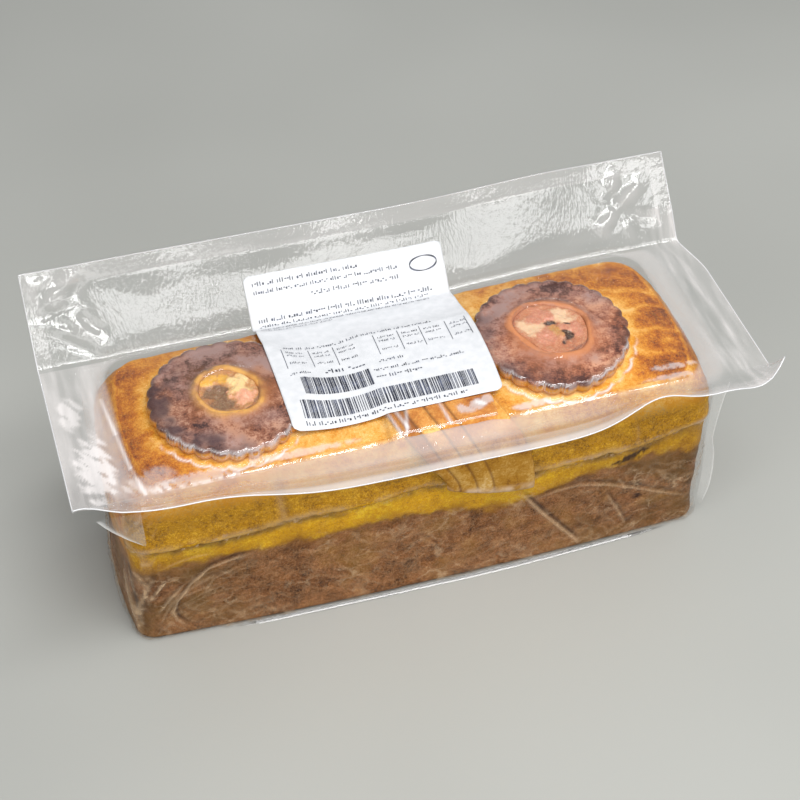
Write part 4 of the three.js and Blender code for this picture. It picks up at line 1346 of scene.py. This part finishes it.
def build_lower_web(material):
    columns = hoop_columns(back_steps=110, end_steps=50, front_steps=480, corner_steps=10)
    levels = foot_levels(1.1) + list(np.arange(12, 62, 0.8)) + list(np.arange(63, 96, 1.8))
    grid, level = wall_grid(levels, columns, ledge=5.0)
    normal = grid_normals(grid, ring=True)
    x, y, z = grid[..., 0], grid[..., 1], grid[..., 2]
    low = 1 - smooth(44, 58, level)
    slanted = grid @ np.array([[1, 0, -0.42], [0, 1, 0], [0.42, 0, 1]])
    steep = grid @ np.array([[1, 0, 0.8], [0, 1, 0], [-0.8, 0, 1]])
    wrinkles = ridges(slanted, (26, 26, 6.5), 71, 13) * mottled(grid, 0.3, 1.6, 30, 70, 1)
    crossing = ridges(steep, (18, 18, 8), 72, 13) * mottled(grid, 0.2, 1.7, 26, 76, 1)
    folds = front_folds(x, y, z)
    corner = (smooth(HALF_LENGTH - 22, HALF_LENGTH - 5, np.abs(x))
              * smooth(HALF_WIDTH - 18, HALF_WIDTH - 5, np.abs(y)))
    lift = (0.75 * wrinkles + 0.6 * crossing) * (0.2 + 0.8 * low) + 0.12 * rough(grid, (14, 14, 6), 77)
    lift = lift + folds + 0.3 * (1 - smooth(3, 10, z)) * rough(grid, 12, 73)
    lift = lift + 0.8 * corner * ridges(grid, (7, 7, 30), 74, 16)
    lift = lift * (1 - smooth(80, 90, level))
    grid = grid + normal * (np.maximum(lift, -0.35) * smooth(0, 3, z))[..., None]

    # haze: the wrinkles and folds, and the glare in a ragged line under and over the lid's edge
    haze = low * (0.42 * wrinkles + 0.36 * crossing) + 0.6 * clamp01(folds)
    haze = haze + np.where(x < 0, 0.8, 0.2) * corner * ridges(grid, (7, 7, 30), 74, 16)
    by_ledge = bell(level - 66, 3.0) * (y < 0)
    haze = haze + 0.8 * by_ledge * smooth(0.34, 0.5, rough(grid, (2.6, 2.6, 1.6), 78, 2))
    wisp = level - 67.5 - 1.2 * rough(grid, (10, 10, 60), 79)
    haze = haze + 0.7 * (y < 0) * bell(wisp, 1.2) * mottled(grid, 0.1, 1.6, (12, 12, 30), 80)
    creased = (0.15 + 0.85 * low) * (1 - smooth(84, 90, level))

    collar = web_collar(grid[-1], normal[-1] * np.array([1, 1, 0]))
    grid = np.concatenate([grid, collar])
    rows, count = grid.shape[:2]
    points = np.concatenate([grid.reshape(-1, 3), [[0, 0, 0.0]]])
    faces = grid_faces(rows, count, ring=True) + fan(rows * count, 0, count, upward=False)
    on_collar = np.ones(collar[..., 0].size)
    masks = {"haze": np.concatenate([clamp01(haze).ravel(), 0.05 * on_collar, [0.1]]),
             "creased": np.concatenate([creased.ravel(), 0 * on_collar, [0.0]])}
    return make_piece("lower_web", points, faces, material, masks)


build_lower_web(shrunk_film)

# %% [markdown]
# ## The label
#
# A rectangle of white coated paper with rounded corners is stuck on the film and folded up over the
# back crease. Paper is stiffer than film, so a bigger ball is rolled over the ground under it. Its
# print is only greeked here: seeded ticks for lines of type, plain stripes and an empty table.

# %% The label's surface
LABEL_WIDTH, LABEL_X = 101, -12
LABEL_FRONT_Y, LABEL_UP_FLANGE = -33, 27.5
LABEL_CORNER = 3
LABEL_LENGTH = CREASE_Y + LABEL_UP_FLANGE - LABEL_FRONT_Y
LABEL_OVER_LID, LABEL_OFF_FLANGE = 0.85, 0.75  # how far the paper's underside lies off the film
PAPER = 0.12


def label_ground():
    """Height of the paper over the lid, on a grid of X and s, from a large ball rolled over the web."""
    step, ball = 2.5, 45.0
    gx = np.arange(LABEL_X - LABEL_WIDTH / 2 - 30, LABEL_X + LABEL_WIDTH / 2 + 30.1, step)
    gs = np.arange(LABEL_FRONT_Y - 20, CREASE_Y + 0.1, step)
    x, s = np.meshgrid(gx, gs)
    place = film_point(x, s)
    y = place[..., 1]
    lid = np.where(inside_seam(x, y) > 0, lid_height(x, y) + lid_cover(x, y), 0)
    return gx, gs, roll_ball(np.maximum(place[..., 2], lid), ball, step)


LABEL_GROUND = label_ground()


def look_up(x, s):
    """The paper's ground height by straight-line reading between the grid's places."""
    gx, gs, ground = LABEL_GROUND
    fx = np.clip((x - gx[0]) / (gx[1] - gx[0]), 0, len(gx) - 1.001)
    fs = np.clip((s - gs[0]) / (gs[1] - gs[0]), 0, len(gs) - 1.001)
    i, j = fs.astype(int), fx.astype(int)
    a, b = fs - i, fx - j
    return (ground[i, j] * (1 - a) * (1 - b) + ground[i + 1, j] * a * (1 - b)
            + ground[i, j + 1] * (1 - a) * b + ground[i + 1, j + 1] * a * b)


def label_point(u, v, above=0.0):
    """u runs from 0 to 1 along the label's width and v from its front edge to its top edge."""
    u, v = np.broadcast_arrays(np.asarray(u, float), np.asarray(v, float))
    x = LABEL_X + (u - 0.5) * LABEL_WIDTH
    s = LABEL_FRONT_Y + v * LABEL_LENGTH
    e = 0.3  # half the distance over which the flange's slope is measured
    along_x = film_point(x + e, s) - film_point(x - e, s)
    along_s = film_point(x, s + e) - film_point(x, s - e)
    normal = np.cross(along_x, along_s)
    normal /= np.linalg.norm(normal, axis=-1, keepdims=True)
    standing = film_point(x, s) + normal * (back_bulge(x, s) + LABEL_OFF_FLANGE + above)[..., None]
    lying_y = s + back_swell(x) * clamp01(s / CREASE_Y)
    lying = np.stack([x, lying_y, look_up(x, s) + LABEL_OVER_LID + above], axis=-1)
    blend = smooth(CREASE_Y - 8, CREASE_Y + 1, s)[..., None]
    lying[..., 2] = np.maximum(lying[..., 2], standing[..., 2] * blend[..., 0])
    place = lying * (1 - blend) + standing * blend
    wave = 0.35 * np.sin(x / 11.0 + s / 23.0) * smooth(CREASE_Y, LABEL_FRONT_Y, s)
    place[..., 2] += wave * 0.6 + 0.35 * smooth(0.9, 1.0, v) * (1 - blend[..., 0])
    return place


def build_label(material):
    u, v = np.meshgrid(np.linspace(0, 1, 101), np.linspace(0, 1, 105))
    # the rounded corners: rows near the two ends are drawn in
    into_corner = np.maximum(0, LABEL_CORNER - np.minimum(v, 1 - v) * LABEL_LENGTH)
    cut = LABEL_CORNER - np.sqrt(np.maximum(0, LABEL_CORNER**2 - into_corner**2))
    u = 0.5 + (u - 0.5) * (1 - 2 * cut / LABEL_WIDTH)
    points = np.stack([label_point(u, v, PAPER), label_point(u, v)])
    return make_piece("paper_label", points, sheet_faces(*u.shape), material, {}, ("label",))


def paper_material():
    material, tree, surface = new_material("label paper")
    place = add_node(tree, "ShaderNodeTexCoord").outputs["Object"]
    fibre = cloud_node(tree, place, 260.0, 4.0)["Fac"]
    shade = colour_scale(tree, fibre, ((0.3, 216, 218, 221), (0.7, 226, 227, 230)))
    end_material(tree, surface, shade, 0.42, (fibre, 0.12, 0.0004))
    return material


build_label(paper_material())

# %% [markdown]
# ## The label's print
#
# A thermal printer burns small dark marks, and from a step away type reads as rows of ticks. The marks
# are tiny flat patches a hair above the paper that follow its curve, so they bend with the fold. The
# patches are laid out by rows of words of random length, and nothing on the label can be read.

# %% Marks of the print
INK_ABOVE = 0.4
label_marks = []  # patches as (u0, v0, u1, v1)


def mark(u0, v0, u1, v1):
    label_marks.append((u0, v0, u1, v1))


def type_row(draw, left, right, down, height, word=(3, 9)):
    """A row of greeked words, so far down from the top edge: short ticks, dashes and blocks."""
    pitch, thin = 0.55 * height, 0.17 * height
    signs = ((0, 0, thin, 0.95), (0, 0, thin, 0.7), (0, 0, 0.7 * pitch, 0.22),
             (0, 0.45, 0.7 * pitch, 0.22), (0, 0.1, 0.62 * pitch, 0.5))  # place and size
    x, v = left, 1 - down / LABEL_LENGTH
    while x < right - 2 * pitch:
        for _ in range(draw.randint(*word)):
            if x > right:
                break
            across, up, wide, tall = draw.choice(signs)
            mark((x + across) / LABEL_WIDTH, v + up * height / LABEL_LENGTH,
                 (x + across + wide) / LABEL_WIDTH, v + (up + tall) * height / LABEL_LENGTH)
            x += pitch
        x += pitch * 0.9


def stripe_block(draw, left, right, down, height):
    """Upright stripes of random width."""
    x, v = left, 1 - down / LABEL_LENGTH
    while x < right:
        wide = draw.choice((0.28, 0.28, 0.55, 0.85))
        mark(x / LABEL_WIDTH, v, (x + wide) / LABEL_WIDTH, v + height / LABEL_LENGTH)
        x += wide + draw.choice((0.28, 0.3, 0.55, 0.8))


def empty_oval(across, down, half_width, half_height, line=0.15, steps=48):
    """A ring of short marks."""
    for i in range(steps):
        a, b = 2 * math.pi * i / steps, 2 * math.pi * (i + 1) / steps
        x0, x1 = sorted((across + half_width * math.cos(a), across + half_width * math.cos(b)))
        y0, y1 = sorted((down + half_height * math.sin(a), down + half_height * math.sin(b)))
        mark((x0 - line) / LABEL_WIDTH, 1 - (y1 + line) / LABEL_LENGTH,
             (x1 + line) / LABEL_WIDTH, 1 - (y0 - line) / LABEL_LENGTH)


print("the label is", LABEL_WIDTH, "by", LABEL_LENGTH, "mm, and its ink", INK_ABOVE, "mm above it")

# %% Lay out the print
UPPER_ROWS = (  # from and to across the label, down from its top edge, and height
    (4, 58, 5.5, 2.3), (4, 79, 9.5, 2.1), (32, 76, 14.5, 2.3), (4, 93, 23.5, 2.3), (4, 89, 26.9, 2.2),
    (4, 90, 30.0, 1.5), (4, 40, 32.6, 1.5), (9, 84, 54, 1.9))
TABLE_TOP, TABLE_LOW = 55.5, 69.5
TABLE_LINES = (7, 20, 32, 52, 64, 75, 88, 98)
TABLE_COLUMNS, TABLE_ROWS = (9, 22, 34, 54, 66, 77, 90), (58.5, 61.2, 67.0)
LOWER_ROWS = (
    (7, 17, 74.5, 1.7), (24, 42, 74.0, 3.0, (5, 8)), (50, 62, 74.5, 1.9), (46, 92, 80, 1.9),
    (46, 68, 85, 2.3))


def lay_out_print():
    draw = random.Random(7)
    for row in UPPER_ROWS:
        type_row(draw, *row)
    for line in TABLE_LINES:
        mark(line / LABEL_WIDTH, 1 - TABLE_LOW / LABEL_LENGTH,
             (line + 0.25) / LABEL_WIDTH, 1 - TABLE_TOP / LABEL_LENGTH)
    for column in TABLE_COLUMNS:
        for down in TABLE_ROWS:
            type_row(draw, column, column + 8, down, 1.5, (5, 6))
    for row in LOWER_ROWS:
        type_row(draw, *row)
    stripe_block(draw, 11, 44, 87.5, 10.5)
    stripe_block(draw, 7, 91, 100.5, 9.5)
    type_row(draw, 7, 84, 104.0, 2.2)
    empty_oval(90, 9.5, 7, 3.6)


def build_print():
    lay_out_print()
    longest = 2.5  # a taller mark is cut into several, so that it bends with the paper
    corners, faces = [], []
    for u0, v0, u1, v1 in label_marks:
        pieces = max(1, math.ceil((v1 - v0) * LABEL_LENGTH / longest))
        start = len(corners)
        for k in range(pieces + 1):
            v = v0 + (v1 - v0) * k / pieces
            corners += [(u0, v), (u1, v)]
            if k:
                a = start + 2 * (k - 1)
                faces.append((a, a + 1, a + 3, a + 2))
    u, v = np.array(corners).T
    material, tree, surface = new_material("label ink")
    place = add_node(tree, "ShaderNodeTexCoord").outputs["Object"]
    fade = cloud_node(tree, place, 300.0, 2.0)["Fac"]
    end_material(tree, surface, colour_scale(tree, fade, ((0.35, 40, 44, 58), (0.8, 96, 102, 122))), 0.5)
    return make_piece("label_print", label_point(u, v, INK_ABOVE), faces, material, {})


build_print()

# %% [markdown]
# ## Fin, ear and lip of the film
#
# Where the film has not shrunk on to the loaf it stands off: a fin at the right end, an ear at the
# left corner and a lip along the front foot. Each is a ribbon through a few rows of places. The lip
# is two ribbons, a strip of film painted dark as a shadow and the bright edge in front of it.

# %% Ribbons of film
def along_row(t, row):
    """The places at t along a row of points, counted in points."""
    return np.stack([np.interp(t, np.arange(len(row)), row[:, k]) for k in range(3)], axis=1)


def build_ribbon(name, rows, material, haze, border_share=0.9):
    """A sheet through rows of given points, smoothed along its length."""
    rows = np.array(rows, float)
    t = np.linspace(0, rows.shape[1] - 1, 10 * rows.shape[1])
    grid = np.stack([along_row(t, row) for row in rows])
    for _ in range(14):
        grid[:, 1:-1] = (grid[:, :-2] + 2 * grid[:, 1:-1] + grid[:, 2:]) / 4
    t = np.linspace(0, len(rows) - 1, 8 * len(rows))
    grid = np.stack([along_row(t, grid[:, c]) for c in range(grid.shape[1])], axis=1)
    grid = grid + 0.2 * rough(grid, 14, 81)[..., None] * np.array([1, 1, 0])
    u = np.linspace(0, 1, grid.shape[0])[:, None]
    v = np.linspace(0, 1, grid.shape[1])[None, :]
    ends_fade = smooth(0, 0.09, np.minimum(v, 1 - v))
    masks = {"haze": clamp01(ends_fade * (haze + border_share * bell(1 - u, 0.09)))}
    return make_piece(name, grid, grid_faces(*grid.shape[:2]), material, masks)


stood_off = film_material(
    "stood-off film", (240, 240, 238), 0.0, 0.7, gloss=0.8, crinkle=0.3, most_shine=0.22)
build_ribbon("film_fin_right", (
    ((144.5, -41, 97), (144.2, -42, 84), (143.8, -42, 71), (143.6, -42, 57),
     (144.4, -42, 47), (145.0, -42, 35), (145.2, -42, 21), (144.6, -41, 8)),
    ((148.0, -43, 97), (146.6, -43, 84), (145.8, -43, 71), (145.2, -43, 57),
     (146.8, -43, 47), (147.6, -43, 35), (147.6, -43, 21), (146.0, -42, 7)),
    ((151.5, -44, 97), (149.0, -44, 84), (147.6, -44, 71), (146.6, -44, 57),
     (149.0, -44, 47), (150.0, -44, 35), (149.8, -44, 21), (147.2, -42.5, 6)),
), stood_off, 0.34)
build_ribbon("film_ear_left", (
    ((-137.5, -50.5, 98), (-137.3, -51.3, 92), (-137.0, -51.8, 86), (-137.0, -52, 78)),
    ((-147, -50.5, 98.5), (-144, -51.5, 93), (-140.5, -52.3, 86), (-137.1, -52.3, 77.7)),
    ((-158, -50.5, 99), (-152, -52, 92), (-145, -52.8, 84.5), (-137.2, -52.6, 77.4)),
), stood_off, 0.06)


def foot_row(first, last, z, out, wave=0.0):
    """Places 9 mm apart along the front foot, so far out from it, less near the two ends."""
    row = []
    for x in range(first, last, 9):
        foot_y = SIDE_BOW_AT_FOOT * (x / 134) ** 2 - half_width_at(FOOT_RADIUS)
        taper = smooth(-112, -80, x) * (1 - smooth(105, 140, x))
        row.append((x, foot_y - (out + wave * math.sin(x / 23)) * taper, z))
    return row


# painted shadow: a dark film that stands for the shade under the front foot
painted_shadow_film = film_material(
    "film painted as shadow", (58, 56, 54), 0.0, 0.8, gloss=0.6, crinkle=0.3, most_shine=0.2)
LIP_STRIP, LIP_EDGE = ((1.3, 0.0), (0.95, 0.7), (0.6, 1.4)), ((0.95, 1.1), (0.8, 1.4), (0.65, 1.7))
build_ribbon("film_lip_front", [foot_row(-103, 132, *row) for row in LIP_STRIP], painted_shadow_film, 0.8, 0.0)
build_ribbon("film_lip_edge", [foot_row(-94, 123, *row, wave=0.3) for row in LIP_EDGE], stood_off, 0.5, 0.3)

# %% [markdown]
# ## The cut edge of the flange
#
# A film's cut edge catches the light along its whole length and shows as a thin white line, brighter
# than the film itself. A fine bead that follows the web's outline gives that line from every side.

# %% The edge bead
BEAD_RADIUS = 0.34


def build_edge_bead():
    x, _ = web_grid()
    grid = np.array([v.co[:] for v in upper_web.data.vertices]).reshape(*x.shape, 3) / MM
    outline = np.concatenate([grid[0, :], grid[1:, -1], grid[-1, -2::-1], grid[-2:0:-1, 0]])
    ahead = np.roll(outline, -1, axis=0) - np.roll(outline, 1, axis=0)
    ahead /= np.linalg.norm(ahead, axis=1, keepdims=True)
    side = np.cross(ahead, [0, 0, 1])
    side /= np.linalg.norm(side, axis=1, keepdims=True)
    up = np.cross(side, ahead)
    rings = [outline + BEAD_RADIUS * (math.cos(a) * side + math.sin(a) * up)
             for a in np.linspace(0, 2 * math.pi, 6, endpoint=False)]
    tube = np.stack(rings, axis=1)
    tube = np.concatenate([tube, tube[:1]])
    standing = smooth(CREASE_Y - 5, CREASE_Y + 15, tube[..., 1])
    material = film_material("cut edge", (250, 250, 252), 0.2, 0.9, gloss=1.2, crinkle=0.1, most_shine=0.3)
    make_piece("flange_edge", tube, grid_faces(*tube.shape[:2], ring=True), material,
               {"haze": 0.8 - 0.7 * standing})


build_edge_bead()

# %% [markdown]
# ## Table, light and camera
#
# A pale table and large soft lamps, as in a small studio: one above that the lid's film mirrors near
# its front edge, and one high in front that the standing flange mirrors. The camera stands where the
# photographer's did, worked out from the loaf's straight edges.

# %% The table
def build_table():
    half = 3.0  # metres
    corners = [(-half, -half, 0), (half, -half, 0), (half, half, 0), (-half, half, 0)]
    mesh = bpy.data.meshes.new("table_top")
    mesh.from_pydata(corners, [], [(0, 1, 2, 3)])
    table = bpy.data.objects.new("table_top", mesh)
    bpy.context.scene.collection.objects.link(table)
    material, tree, surface = new_material("pale table")
    place = add_node(tree, "ShaderNodeTexCoord").outputs["Object"]
    cloud = cloud_node(tree, place, 3.0, 2.0)["Fac"]
    end_material(tree, surface, colour_scale(tree, cloud, ((0.3, 168, 169, 164), (0.7, 176, 177, 172))), 0.5)
    mesh.materials.append(material)
    print("the table is", 2 * half, "m wide")


build_table()

# %% The lamps
LOOK_AT = Vector((6.8, 26.3, 56.1)) * MM


def soft_lamp(name, target, direction, distance, size, power):
    """A lamp that looks at the target from that direction. Distance and size are in metres."""
    lamp = bpy.data.lights.new(name, "AREA")
    lamp.shape = "RECTANGLE"
    lamp.size, lamp.size_y = size
    lamp.energy = power
    holder = bpy.data.objects.new(name, lamp)
    bpy.context.scene.collection.objects.link(holder)
    way = Vector(direction).normalized()
    holder.location = target + way * distance
    holder.rotation_euler = (-way).to_track_quat("-Z", "Y").to_euler()
    print(name, "has", power, "watts")


soft_lamp("lamp above", LOOK_AT, (0.16, -0.32, 0.93), 1.5, (1.1, 0.34), 15)
soft_lamp("lamp in front", Vector((0, 75, 120)) * MM, (0.21, -0.64, 0.74), 1.7, (1.3, 0.38), 8)
soft_lamp("low lamp", LOOK_AT, (-0.25, -0.88, 0.42), 2.0, (1.6, 0.7), 6.5)
soft_lamp("lamp left", LOOK_AT, (-0.9, -0.45, 0.55), 1.9, (0.8, 0.8), 4)

world = bpy.data.worlds.new("soft room")
bpy.context.scene.world = world
world.use_nodes = True
background = world.node_tree.nodes["Background"]
background.inputs["Color"].default_value = (0.98, 0.99, 1.0, 1)
background.inputs["Strength"].default_value = 0.40
bpy.context.scene.view_settings.view_transform = "Standard"

# %% The camera
CAMERA_ELEVATION, CAMERA_YAW, CAMERA_ROLL = (math.radians(a) for a in (44.23, 17.71, 0.86))
CAMERA_DISTANCE = 935.8
CAMERA_LENS, SENSOR_WIDTH = 83.63, 36


def place_camera():
    ahead = Vector((math.sin(CAMERA_YAW) * math.cos(CAMERA_ELEVATION),
                    math.cos(CAMERA_YAW) * math.cos(CAMERA_ELEVATION), -math.sin(CAMERA_ELEVATION)))
    right = ahead.cross(Vector((0, 0, 1))).normalized()
    up = right.cross(ahead)
    rolled_right = right * math.cos(CAMERA_ROLL) + up * math.sin(CAMERA_ROLL)
    rolled_up = up * math.cos(CAMERA_ROLL) - right * math.sin(CAMERA_ROLL)
    turn = Matrix((rolled_right, rolled_up, -ahead)).transposed().to_4x4()
    lens = bpy.data.cameras.new("camera")
    lens.lens, lens.sensor_width = CAMERA_LENS, SENSOR_WIDTH
    lens.clip_start = 0.05
    camera = bpy.data.objects.new("camera", lens)
    bpy.context.scene.collection.objects.link(camera)
    camera.matrix_world = Matrix.Translation(LOOK_AT - ahead * CAMERA_DISTANCE * MM) @ turn
    bpy.context.scene.camera = camera
    print("the camera stands", CAMERA_DISTANCE, "mm from what it looks at")


place_camera()
